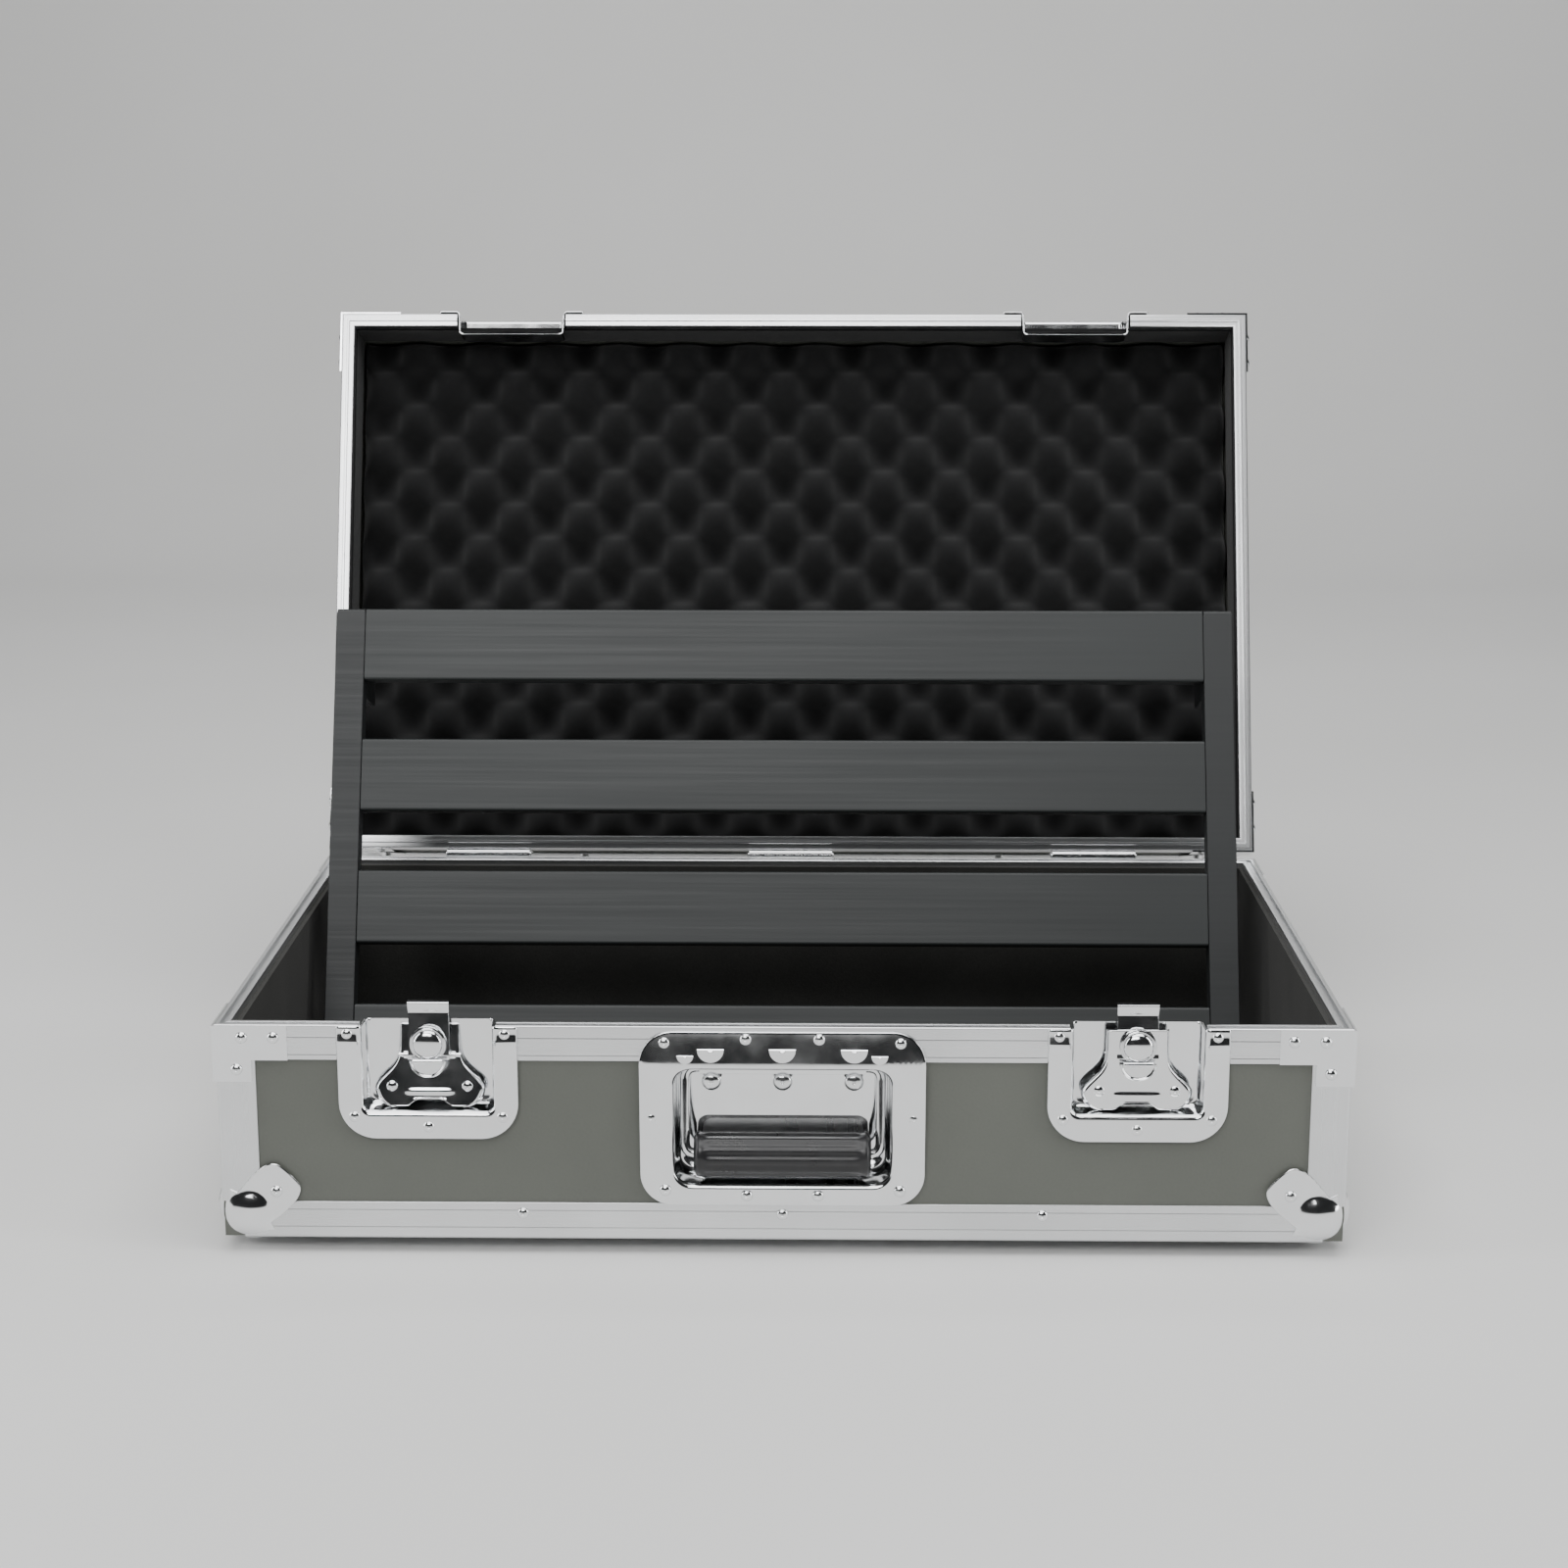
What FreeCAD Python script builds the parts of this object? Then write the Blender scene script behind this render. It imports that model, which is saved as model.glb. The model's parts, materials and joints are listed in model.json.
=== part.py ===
import FreeCAD, Part
import Sketcher
import os

# Hard case with a hinged lid, two folding turn latches, a sprung handle and a slatted board inside.
# Millimetres. X right, Y back, Z up. z = 0 is the underside of the feet, x = 0 the middle of the case.
# Pieces of the case are drawn with the front face on y = 0 and the lid shut, then placed.

os.makedirs("parts", exist_ok=True)
doc = FreeCAD.newDocument("Case")
sheet = doc.addObject("Spreadsheet::Sheet", "Dims")

DRIVING = {
    # case shell
    "case_width": 650, "case_depth": 386, "base_height": 130, "lid_height": 75, "foot_height": 9,
    "panel_thick": 6.5, "metal_thick": 1.25, "rim_cap": 3.5, "rim_flange": 21, "rim_inner": 9,
    "edge_width": 23, "vertex_cut": 9, "parting_gap": 0.5, "groove_wide": 3.2, "groove_deep": 2,
    "tongue_wide": 1.8, "tongue_tall": 1.3, "lining_thick": 3, "floor_lining": 5, "foam_thick": 31,
    "ball_radius": 13, "ball_inset": 8.7, "cap_reach": 46, "skin": 1.2,
    "brace_reach": 42, "brace_drop": 34, "lid_brace_drop": 27, "foot_radius": 12.5, "foot_inset_x": 44, "foot_inset_y": 44,
    # hinges
    "lid_open": 109, "hinge_spacing": 213, "hinge_width": 58, "knuckle_radius": 4.5, "pin_radius": 2,
    "pin_play": 0.06, "leaf_tall": 24,
    # latches
    "latch_spacing": 203, "dish_wide": 102, "dish_tall": 67, "pan_wide": 76, "pan_tall": 52,
    "pan_deep": 15, "hub_drop": 12, "hub_radius": 10.5, "hub_thick": 3.5, "hook_wide": 24,
    "wing_drop": 9.5, "wing_radius": 10.3,
    "hook_tilt": 8, "hook_axis_drop": 21, "keeper_dish_tall": 32, "keeper_pan_tall": 24,
    # handle
    "grip_dish_wide": 164, "grip_dish_tall": 105, "grip_pan_wide": 124, "grip_pan_tall": 70,
    "grip_pan_deep": 19, "grip_length": 102, "grip_radius": 13, "bail_gap": 113, "wire_radius": 3,
    "bail_drop": 49.5,
    # slatted board
    "board_width": 593, "board_deep": 322, "board_front": 30, "board_rear": 50, "rail_wide": 19,
    "slat_wide": 48, "slat_pitch": 87.4, "board_side": -4, "slat_thick": 12, "board_lean": 22, "board_axle_y": 216, "roller_radius": 8,
    "axle_radius": 2, "rivet_radius": 3.2, "rivet_tall": 1.2,
}
DERIVED = {
    "base_z": "=foot_height",
    "part_z": "=foot_height + base_height",
    "lid_z": "=part_z + parting_gap",
    "top_z": "=lid_z + lid_height",
    "half_w": "=case_width / 2",
    "wall": "=metal_thick + panel_thick",
    "rim_wide": "=2 * metal_thick + panel_thick",
    "hinge_y": "=case_depth + knuckle_radius",
    "hinge_z": "=part_z + parting_gap / 2",
    "hub_z": "=part_z - hub_drop",
    "hook_z": "=part_z - hook_axis_drop",
    "pan_z": "=part_z - pan_tall",
    "grip_top": "=part_z - 25.2",
    "bail_z": "=grip_top - 3.8",
    "floor_z": "=foot_height + wall + floor_lining",
}
for row, (alias, value) in enumerate(list(DRIVING.items()) + list(DERIVED.items()), 1):
    sheet.set("A%d" % row, alias)
    sheet.set("B%d" % row, str(value))
    sheet.setAlias("B%d" % row, alias)
doc.recompute()

V = FreeCAD.Vector
X_AXIS = V(1, 0, 0)
REPORT = []


def ex(text):
    """Turn @name into a reference to the dimension sheet."""
    return str(text).replace("@", "Dims.")


def num(text):
    """Value of an expression in millimetres."""
    value = sheet.evalExpression(ex(text))
    return float(getattr(value, "Value", value))


def new_body(label):
    body = doc.addObject("PartDesign::Body", label)
    body.Label = label
    body.AllowCompound = True
    return body


def sketch(body, role="XY_Plane", offset="0"):
    """A sketch on one of the body's own origin planes, shifted along its normal."""
    sk = body.newObject("Sketcher::SketchObject", body.Label + "_sketch")
    plane = [f for f in body.Origin.OriginFeatures if f.Role == role][0]
    sk.AttachmentSupport = (plane, [""])
    sk.MapMode = "FlatFace"
    sk.setExpression("AttachmentOffset.Base.z", ex(offset))
    return sk


def fix_point(sk, geo, pos, x, y):
    """Hold one sketch point at (x, y) from the sheet."""
    for kind, text in (("DistanceX", x), ("DistanceY", y)):
        index = sk.addConstraint(Sketcher.Constraint(kind, -1, 1, geo, pos, num(text)))
        sk.setExpression("Constraints[%d]" % index, ex(text))


def polygon(sk, points):
    """Closed outline through points given as pairs of expressions."""
    values = [V(num(x), num(y), 0) for x, y in points]
    first = sk.GeometryCount
    count = len(points)
    for i in range(count):
        sk.addGeometry(Part.LineSegment(values[i], values[(i + 1) % count]), False)
    for i in range(count):
        after = first + (i + 1) % count
        sk.addConstraint(Sketcher.Constraint("Coincident", first + i, 2, after, 1))
    for i, (x, y) in enumerate(points):
        fix_point(sk, first + i, 1, x, y)


def rect(sk, x0, x1, y0, y1):
    polygon(sk, [(x0, y0), (x1, y0), (x1, y1), (x0, y1)])


def ring(sk, inset, grow="0"):
    """Rectangle of the case outline moved in by inset."""
    side = "(@half_w - (%s) + (%s))" % (inset, grow)
    rect(sk, "-" + side, side, "(%s) - (%s)" % (inset, grow), "@case_depth - (%s) + (%s)" % (inset, grow))


def circle(sk, x, y, radius):
    geo = sk.addGeometry(Part.Circle(V(num(x), num(y), 0), V(0, 0, 1), num(radius)), False)
    fix_point(sk, geo, 3, x, y)
    index = sk.addConstraint(Sketcher.Constraint("Radius", geo, num(radius)))
    sk.setExpression("Constraints[%d]" % index, ex(radius))


def pad(body, sk, length, back=False):
    feature = body.newObject("PartDesign::Pad", body.Label + "_pad")
    feature.Profile = sk
    feature.setExpression("Length", ex(length))
    feature.Reversed = back
    doc.recompute()
    return feature


def pocket(body, sk, length, back=False):
    """Cut the sketch out; back=False cuts against the sketch normal."""
    before = body.Shape.Volume
    feature = body.newObject("PartDesign::Pocket", body.Label + "_pocket")
    feature.Profile = sk
    feature.setExpression("Length", ex(length))
    feature.Reversed = back
    doc.recompute()
    if body.Shape.Volume >= before - 1e-6:
        REPORT.append(body.Label + ": " + feature.Name + " removed nothing")
    return feature


def fillet(body, radius, wanted):
    """Round the edges of the tip that the test picks out."""
    tip = body.Tip
    names = ["Edge%d" % (i + 1) for i, edge in enumerate(tip.Shape.Edges) if wanted(edge)]
    if not names:
        REPORT.append(body.Label + ": no edges to round")
        return
    feature = body.newObject("PartDesign::Fillet", body.Label + "_fillet")
    feature.Base = (tip, names)
    feature.setExpression("Radius", ex(radius))
    doc.recompute()


def along(axis):
    """Edge test: straight and parallel to one axis (0, 1 or 2)."""
    def test(edge):
        ends = edge.Vertexes
        if len(ends) != 2 or edge.Curve.TypeId != "Part::GeomLine":
            return False
        step = ends[1].Point - ends[0].Point
        return abs(abs(step[axis]) - step.Length) < 1e-6
    return test


def both(*tests):
    return lambda edge: all(test(edge) for test in tests)


def within(axis, low, high):
    """Edge test: whole edge lies between two values of one axis."""
    def test(edge):
        box = edge.BoundBox
        ends = ((box.XMin, box.XMax), (box.YMin, box.YMax), (box.ZMin, box.ZMax))[axis]
        return ends[0] >= num(low) - 1e-4 and ends[1] <= num(high) + 1e-4
    return test


def slab(label, x0, x1, y0, y1, z0, z1):
    body = new_body(label)
    sk = sketch(body, "XY_Plane", z0)
    rect(sk, x0, x1, y0, y1)
    pad(body, sk, "(%s) - (%s)" % (z1, z0))
    return body


def box(name, x0, x1, y0, y1, z0, z1):
    """Part box with every bound from the sheet."""
    item = doc.addObject("Part::Box", name)
    for side, low, high in (("Length", x0, x1), ("Width", y0, y1), ("Height", z0, z1)):
        item.setExpression(side, ex("(%s) - (%s)" % (high, low)))
    for axis, low in (("x", x0), ("y", y0), ("z", z0)):
        item.setExpression("Placement.Base." + axis, ex(low))
    return item


def cylinder(name, x, y, z, radius, length, direction):
    item = doc.addObject("Part::Cylinder", name)
    item.setExpression("Radius", ex(radius))
    item.setExpression("Height", ex(length))
    item.Placement.Rotation = FreeCAD.Rotation(V(0, 0, 1), direction)
    for axis, value in (("x", x), ("y", y), ("z", z)):
        item.setExpression("Placement.Base." + axis, ex(value))
    return item


def fuse(name, *items):
    item = doc.addObject("Part::MultiFuse", name)
    item.Shapes = list(items)
    return item


def cut(name, base, tool):
    item = doc.addObject("Part::Cut", name)
    item.Base = base
    item.Tool = tool
    return item


def common(name, *items):
    item = doc.addObject("Part::MultiCommon", name)
    item.Shapes = list(items)
    return item


def mirror(name, source, base, normal):
    item = doc.addObject("Part::Mirroring", name)
    item.Source = source
    item.Base = base
    item.Normal = normal
    return item


def group(label, items):
    item = doc.addObject("Part::Compound", label)
    item.Label = label
    item.Links = items
    return item


def four(label, corner):
    """Copy a front left piece to the other three corners as one piece."""
    doc.recompute()
    middle = V(0, num("@case_depth / 2"), 0)
    right = mirror(label + "_r", corner, V(0, 0, 0), X_AXIS)
    back = mirror(label + "_b", corner, middle, V(0, 1, 0))
    back_right = mirror(label + "_br", right, middle, V(0, 1, 0))
    return group(label, [corner, right, back, back_right])


# ---------------------------------------------------------------- shell pieces

def hollow_ring(label, z0, tall, groove, down):
    """Rim frame: box section with a long outer flange and a short inner flange.

    down=True hangs the flanges below the joint (base), down=False above it (lid).
    """
    body = new_body(label)
    sk = sketch(body, "XY_Plane", z0)
    ring(sk, "0")
    pad(body, sk, tall)
    open_z = z0 if down else "(%s) + (%s)" % (z0, tall)
    sk = sketch(body, "XY_Plane", open_z)
    ring(sk, "@rim_wide")
    pocket(body, sk, tall, down)
    sk = sketch(body, "XY_Plane", open_z)
    ring(sk, "@metal_thick")
    pocket(body, sk, "(%s) - @rim_inner" % tall, down)
    sk = sketch(body, "XY_Plane", open_z)
    ring(sk, "@metal_thick")
    ring(sk, "@wall")
    pocket(body, sk, "(%s) - @rim_cap" % tall, down)
    if groove:
        sk = sketch(body, "XY_Plane", "@part_z")
        ring(sk, "@rim_wide / 2 - @groove_wide / 2")
        ring(sk, "@rim_wide / 2 + @groove_wide / 2")
        pocket(body, sk, "@groove_deep")
    else:
        sk = sketch(body, "XY_Plane", "@lid_z - @tongue_tall")
        ring(sk, "@rim_wide / 2 - @tongue_wide / 2")
        ring(sk, "@rim_wide / 2 + @tongue_wide / 2")
        pad(body, sk, "@tongue_tall + 0.5")
    return body


def notch_for_pans(body, low, high):
    """Open the front wall where the two latch pans pass through."""
    sk = sketch(body, "XY_Plane", low)
    for side in ("-", ""):
        middle = side + "@latch_spacing"
        rect(sk, middle + " - @pan_wide / 2 - @skin", middle + " + @pan_wide / 2 + @skin", "-1",
             "@rim_wide + 1")
    pocket(body, sk, "(%s) - (%s)" % (high, low), True)


def panels(prefix, z0, z1, skin_z0, skin_z1):
    """Four walls and the floor or top of one half of the case."""
    inner_x = "(@half_w - @wall)"
    back = "@case_depth - "
    front = slab(prefix + "_front_panel", "-" + inner_x, inner_x, "@metal_thick", "@wall", z0, z1)
    rear = slab(prefix + "_back_panel", "-" + inner_x, inner_x, back + "@wall", back + "@metal_thick", z0, z1)
    left = slab(prefix + "_left_panel", "-(@half_w - @metal_thick)", "-" + inner_x, "@metal_thick",
                back + "@metal_thick", z0, z1)
    right = slab(prefix + "_right_panel", inner_x, "@half_w - @metal_thick", "@metal_thick",
                 back + "@metal_thick", z0, z1)
    flat = slab(prefix + ("_floor_panel" if prefix == "base" else "_top_panel"), "-" + inner_x, inner_x,
                "@wall", back + "@wall", skin_z0, skin_z1)
    return [front, rear, left, right, flat]


def edge_ring(label, z_out, z_in, up):
    """Angle edging round the floor (up=True) or round the top."""
    body = new_body(label)
    low, high = (z_out, z_in) if up else (z_in, z_out)
    sk = sketch(body, "XY_Plane", low)
    ring(sk, "0")
    pad(body, sk, "(%s) - (%s)" % (high, low))
    sk = sketch(body, "XY_Plane", z_in)
    ring(sk, "@metal_thick")
    pocket(body, sk, "@edge_width - @metal_thick", not up)
    sk = sketch(body, "XY_Plane", z_in)
    ring(sk, "@edge_width")
    pocket(body, sk, "@edge_width", not up)
    sk = sketch(body, "XY_Plane", z_out)
    for x in (("-@half_w", "-@half_w + @vertex_cut"), ("@half_w - @vertex_cut", "@half_w")):
        for y in (("0", "@vertex_cut"), ("@case_depth - @vertex_cut", "@case_depth")):
            rect(sk, x[0], x[1], y[0], y[1])
    pocket(body, sk, "@vertex_cut", up)
    return body


def uprights(label, z0, z1):
    """Angle edging on the four upright corners."""
    body = new_body(label)
    sk = sketch(body, "XY_Plane", z0)
    for sx in (1, -1):
        for near in (True, False):
            def px(value):
                return "-@half_w + " + value if sx > 0 else "@half_w - " + value

            def py(value):
                return value if near else "@case_depth - " + value
            mt, ew = "@metal_thick", "@edge_width"
            polygon(sk, [(px("0"), py("0")), (px(ew), py("0")), (px(ew), py(mt)), (px(mt), py(mt)),
                         (px(mt), py(ew)), (px("0"), py(ew))])
    pad(body, sk, "(%s) - (%s)" % (z1, z0))
    return body


def ball_corners(label, z_vertex, up):
    """Pressed corner caps: three flat lobes round a ball, one on each corner."""
    s = "" if up else "-"

    def span(low, high):
        ends = ["%s + %s(%s)" % (z_vertex, s, low), "%s + %s(%s)" % (z_vertex, s, high)]
        return ends if up else ends[::-1]
    name = label + "_"
    x0 = "-@half_w"
    plates = box(name + "plates", x0 + " - @skin", x0 + " + @cap_reach", "-@skin", "@cap_reach",
                 *span("-@skin", "@cap_reach"))
    disc = doc.addObject("Part::Sphere", name + "outline")
    disc.setExpression("Radius", ex("@cap_reach"))
    ball = doc.addObject("Part::Sphere", name + "ball")
    ball.setExpression("Radius", ex("@ball_radius"))
    for item, inset in ((disc, "0"), (ball, "@ball_inset")):
        item.setExpression("Placement.Base.x", ex(x0 + " + " + inset))
        item.setExpression("Placement.Base.y", ex(inset))
        item.setExpression("Placement.Base.z", ex("%s + %s%s" % (z_vertex, s, inset)))
    outline = common(name + "lobes", plates, disc)
    far = "3 * @cap_reach"
    case = box(name + "case", x0, x0 + " + " + far, "0", far, *span("0", far))
    tight = box(name + "tight", "-3 * @half_w", x0 + " + @vertex_cut", "-" + far, "@vertex_cut",
                *span("-" + far, "@vertex_cut"))
    shell = cut(name + "shell", outline, case)
    bulge = cut(name + "bulge", ball, case)
    vertex = common(name + "vertex", ball, tight)
    inner = box(name + "panels", x0 + " + @metal_thick", x0 + " + " + far, "@metal_thick", far,
                *span("@metal_thick", far))
    tip = cut(name + "tip", vertex, inner)
    corner = fuse(name + "one", shell, bulge, tip)
    return four(label, corner)


def rim_braces(label, z_joint, up, drop):
    """L-shaped plates over the rim corners; up=True grows upward (lid)."""
    s = "" if up else "-"

    def span(low, high):
        ends = ["%s + %s(%s)" % (z_joint, s, low), "%s + %s(%s)" % (z_joint, s, high)]
        return ends if up else ends[::-1]
    name = label + "_"
    x0 = "-@half_w"
    full = box(name + "full", x0 + " - @skin", x0 + " + @brace_reach", "-@skin", "@brace_reach",
               *span("0.4", drop))
    case = box(name + "case", x0, x0 + " + 200", "0", "200", *span("-1", "99"))
    reach = box(name + "reach", x0 + " + @rim_flange", x0 + " + 200", "-9", "200",
                *span("@rim_flange", "99"))
    side = box(name + "side", x0 + " - 9", x0 + " + 9", "@rim_flange", "200",
               *span("@rim_flange", "99"))
    one = cut(name + "one", full, fuse(name + "tools", case, reach, side))
    return four(label, one)


# ---------------------------------------------------------------- latches and handle

def dish(label, x_mid, half_flange, z0, z1, half_pan, pan_z0, pan_z1, deep, open_end):
    """Pressed dish: flange on the face, pan through the wall. open_end 0 none, 1 top, -1 bottom."""
    body = new_body(label)
    sk = sketch(body, "XZ_Plane", "0")
    rect(sk, "%s - %s" % (x_mid, half_flange), "%s + %s" % (x_mid, half_flange), z0, z1)
    pad(body, sk, "@skin")
    round_z = {0: (z0, z1), 1: (z0, z0), -1: (z1, z1)}[open_end]
    radius = "20" if open_end == 0 else "14"
    fillet(body, radius, both(along(1), lambda e: any(abs(e.BoundBox.ZMin - num(z)) < 1e-4 for z in round_z)))
    low = pan_z0 if open_end == -1 else "(%s) - @skin" % pan_z0
    high = pan_z1 if open_end == 1 else "(%s) + @skin" % pan_z1
    sk = sketch(body, "XZ_Plane", "-(%s) - @skin" % deep)
    rect(sk, "%s - %s - @skin" % (x_mid, half_pan), "%s + %s + @skin" % (x_mid, half_pan), low, high)
    pad(body, sk, "(%s) + @skin" % deep)
    low = "(%s) - 5" % pan_z0 if open_end == -1 else pan_z0
    high = "(%s) + 5" % pan_z1 if open_end == 1 else pan_z1
    sk = sketch(body, "XZ_Plane", "@skin")
    rect(sk, "%s - %s" % (x_mid, half_pan), "%s + %s" % (x_mid, half_pan), low, high)
    pocket(body, sk, "(%s) + @skin" % deep)
    return body


def latch(side, s):
    """Fixed plate, turning hub, folding wing and hook of one latch."""
    mid = s + "@latch_spacing"
    deep = "@pan_deep"
    plate_y = "4.2"
    dish("latch_%s_dish" % side, mid, "@dish_wide / 2", "@part_z - @dish_tall", "@part_z - 0.3",
         "@pan_wide / 2", "@pan_z", "@part_z", deep, 1)
    body = new_body("latch_%s_plate" % side)
    top = "@part_z - 2.5"
    sk = sketch(body, "XZ_Plane", "-" + deep)
    rect(sk, mid + " - 18", mid + " + 18", "@pan_z + 6", top)
    pad(body, sk, "%s - %s" % (deep, plate_y))
    sk = sketch(body, "XZ_Plane", "-" + deep)
    polygon(sk, [(mid + " - 31", "@pan_z + 2"), (mid + " + 31", "@pan_z + 2"), (mid + " + 31", "@pan_z + 17"),
                 (mid + " + 22", "@pan_z + 30"), (mid + " - 22", "@pan_z + 30"), (mid + " - 31", "@pan_z + 17")])
    pad(body, sk, "@skin")
    fillet(body, "5", both(along(1), within(2, "@pan_z + 1", "@pan_z + 18"),
                           lambda e: abs(e.BoundBox.XMin - num(mid)) > 30))
    sk = sketch(body, "XZ_Plane", "-" + deep)
    rect(sk, mid + " - 16.5", mid + " + 16.5", "@pan_z + 4", "@part_z + 5")
    pocket(body, sk, "%s - %s - 1.5" % (deep, plate_y), True)
    sk = sketch(body, "XZ_Plane", "-" + plate_y + " + 1")
    circle(sk, mid, "@hub_z", "4 + @pin_play")
    circle(sk, mid, "@pan_z + 5.5", "8")
    pocket(body, sk, "2.6")
    sk = sketch(body, "YZ_Plane", mid + " - 19")
    circle(sk, "@pan_deep - 4.5", "@hook_z", "1.5 + @pin_play")
    pocket(body, sk, "38", True)

    body = new_body("latch_%s_hub" % side)
    sk = sketch(body, "XZ_Plane", "-(%s - 0.3)" % plate_y)
    circle(sk, mid, "@hub_z", "@hub_radius")
    pad(body, sk, "@hub_thick - 1.2")
    sk = sketch(body, "XZ_Plane", "-(%s + 1.8)" % plate_y)
    circle(sk, mid, "@hub_z", "4")
    pad(body, sk, "2.1")

    face = "%s - 0.3 - @hub_thick + 1.2" % plate_y
    body = new_body("latch_%s_wing" % side)
    sk = sketch(body, "XZ_Plane", "-(%s - 0.25)" % face)
    circle(sk, mid, "@hub_z - @wing_drop", "@wing_radius")
    pad(body, sk, "1.6")
    sk = sketch(body, "XZ_Plane", "10")
    rect(sk, mid + " - 20", mid + " + 20", "@hub_z - @wing_drop + 0.6", "@hub_z + 20")
    pocket(body, sk, "20")
    return body


def latch_hook(side, s):
    mid = s + "@latch_spacing"
    axis_y = "@pan_deep - 4.5"
    body = new_body("latch_%s_hook" % side)
    top = "@part_z + 13"
    half = "@hook_wide / 2"
    sk = sketch(body, "YZ_Plane", mid + " - " + half)
    front = axis_y + " - 1"
    back = axis_y + " + 1"
    polygon(sk, [(front, "@hook_z - 2"), (back, "@hook_z - 2"), (back, top + " - 2.2"),
                 ("@pan_deep - 0.7", top + " - 2.2"), ("@pan_deep - 0.7", top), (front, top)])
    pad(body, sk, "@hook_wide")
    sk = sketch(body, "YZ_Plane", mid + " - 16")
    circle(sk, axis_y, "@hook_z", "2.4")
    pad(body, sk, "32")
    sk = sketch(body, "YZ_Plane", mid + " - 17.9")
    circle(sk, axis_y, "@hook_z", "1.5")
    pad(body, sk, "35.8")
    sk = sketch(body, "XZ_Plane", "10")
    circle(sk, mid, "@hub_z", "6.5")
    pocket(body, sk, "40")
    tilt = FreeCAD.Rotation(X_AXIS, num("@hook_tilt"))
    pivot = V(0, num(axis_y), num("@hook_z"))
    body.Placement = FreeCAD.Placement(pivot - tilt.multVec(pivot), tilt)
    return body


def keeper_dish(side, s):
    """Half dish in the lid with the lip the hook pulls on."""
    mid = s + "@latch_spacing"
    body = dish("latch_%s_keeper_dish" % side, mid, "@dish_wide / 2", "@lid_z + 0.3",
                "@lid_z + @keeper_dish_tall", "@pan_wide / 2", "@lid_z", "@lid_z + @keeper_pan_tall",
                "@pan_deep", -1)
    sk = sketch(body, "YZ_Plane", mid + " - 13")
    rect(sk, "@pan_deep - 3", "@pan_deep + 0.5", "@part_z + 7.8", "@part_z + 10.3")
    pad(body, sk, "26")
    return body


def handle():
    mid_z = "@bail_z - @bail_drop"
    z1 = "@part_z - 2.7"
    z0 = z1 + " - @grip_dish_tall"
    dish("handle_dish", "0", "@grip_dish_wide / 2", z0, z1, "@grip_pan_wide / 2",
         "@grip_top - @grip_pan_tall", "@grip_top", "@grip_pan_deep", 0)
    rod_y = "(@grip_pan_deep - 4.5)"
    body = new_body("handle_hinge_plate")
    sk = sketch(body, "YZ_Plane", "-48")
    polygon(sk, [("@grip_pan_deep", "@bail_z - 14"), ("@grip_pan_deep", "@bail_z + 3.5"),
                 (rod_y + " - 2", "@bail_z + 3.5"), (rod_y + " - 4.4", "@bail_z + 1.5"),
                 (rod_y + " - 4.4", "@bail_z - 2.5"), ("@grip_pan_deep - 1.2", "@bail_z - 5.5"),
                 ("@grip_pan_deep - 1.2", "@bail_z - 14")])
    circle(sk, rod_y, "@bail_z", "@wire_radius + @pin_play")
    pad(body, sk, "96")

    half = "@bail_gap / 2"
    grip_y = "5.5"
    full = "@bail_gap + 2 * @wire_radius"
    rods = []
    for name, y, z in (("bail_top", rod_y, "@bail_z"), ("bail_low", grip_y, mid_z)):
        rods.append(cylinder(name, "-%s - @wire_radius" % half, y, z, "@wire_radius", full, X_AXIS))
    lean = V(0, num(grip_y + " - " + rod_y), -num("@bail_drop"))
    length = "sqrt((%s - %s)^2 + @bail_drop^2)" % (grip_y, rod_y)
    for name, x in (("bail_leg_left", "-" + half), ("bail_leg_right", half)):
        rods.append(cylinder(name, x, rod_y, "@bail_z", "@wire_radius - 0.1", length, lean))
    fuse("handle_bail", *rods)

    body = new_body("handle_grip")
    sk = sketch(body, "YZ_Plane", "-@grip_length / 2")
    circle(sk, grip_y, mid_z, "@grip_radius")
    circle(sk, grip_y, mid_z, "@wire_radius")
    pad(body, sk, "@grip_length")


# ---------------------------------------------------------------- hinges, linings, feet, rivets

def hinge(name, x_mid):
    """Base leaf, lid leaf and pin of one hinge; knuckles split in three."""
    third = "@hinge_width / 3"
    left = "%s - @hinge_width / 2" % x_mid
    clear = "@knuckle_radius + 0.3"
    for part, low, high in (("base", "@part_z - @leaf_tall", "@hinge_z - (%s)" % clear),
                            ("lid", "@hinge_z + " + clear, "@lid_z + @leaf_tall")):
        body = new_body("hinge_%s_%s_leaf" % (name, part))
        sk = sketch(body, "XZ_Plane", "-@case_depth - @skin")
        rect(sk, left, left + " + @hinge_width", low, high)
        pad(body, sk, "@skin")
        spans = [("0", third), ("2 * " + third, third)] if part == "base" else [(third + " + 0.3", third + " - 0.6")]
        for start, length in spans:
            sk = sketch(body, "YZ_Plane", left + " + " + start)
            circle(sk, "@hinge_y", "@hinge_z", "@knuckle_radius")
            pad(body, sk, length)
            sk = sketch(body, "YZ_Plane", left + " + " + start)
            near = high if part == "base" else low
            rect(sk, "@case_depth", "@case_depth + @skin", *sorted((near, "@hinge_z"), key=num))
            pad(body, sk, length)
        sk = sketch(body, "YZ_Plane", left + " - 1")
        circle(sk, "@hinge_y", "@hinge_z", "@pin_radius + @pin_play")
        pocket(body, sk, "@hinge_width + 2", True)
    return cylinder("hinge_pin_" + name, left + " - 1", "@hinge_y", "@hinge_z", "@pin_radius",
                    "@hinge_width + 2", X_AXIS)


def walls(label, inset, thick, z0, z1):
    """Thin upright lining round the inside of the base."""
    body = new_body(label)
    sk = sketch(body, "XY_Plane", z0)
    ring(sk, inset)
    ring(sk, "(%s) + (%s)" % (inset, thick))
    pad(body, sk, "(%s) - (%s)" % (z1, z0))
    return body


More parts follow.
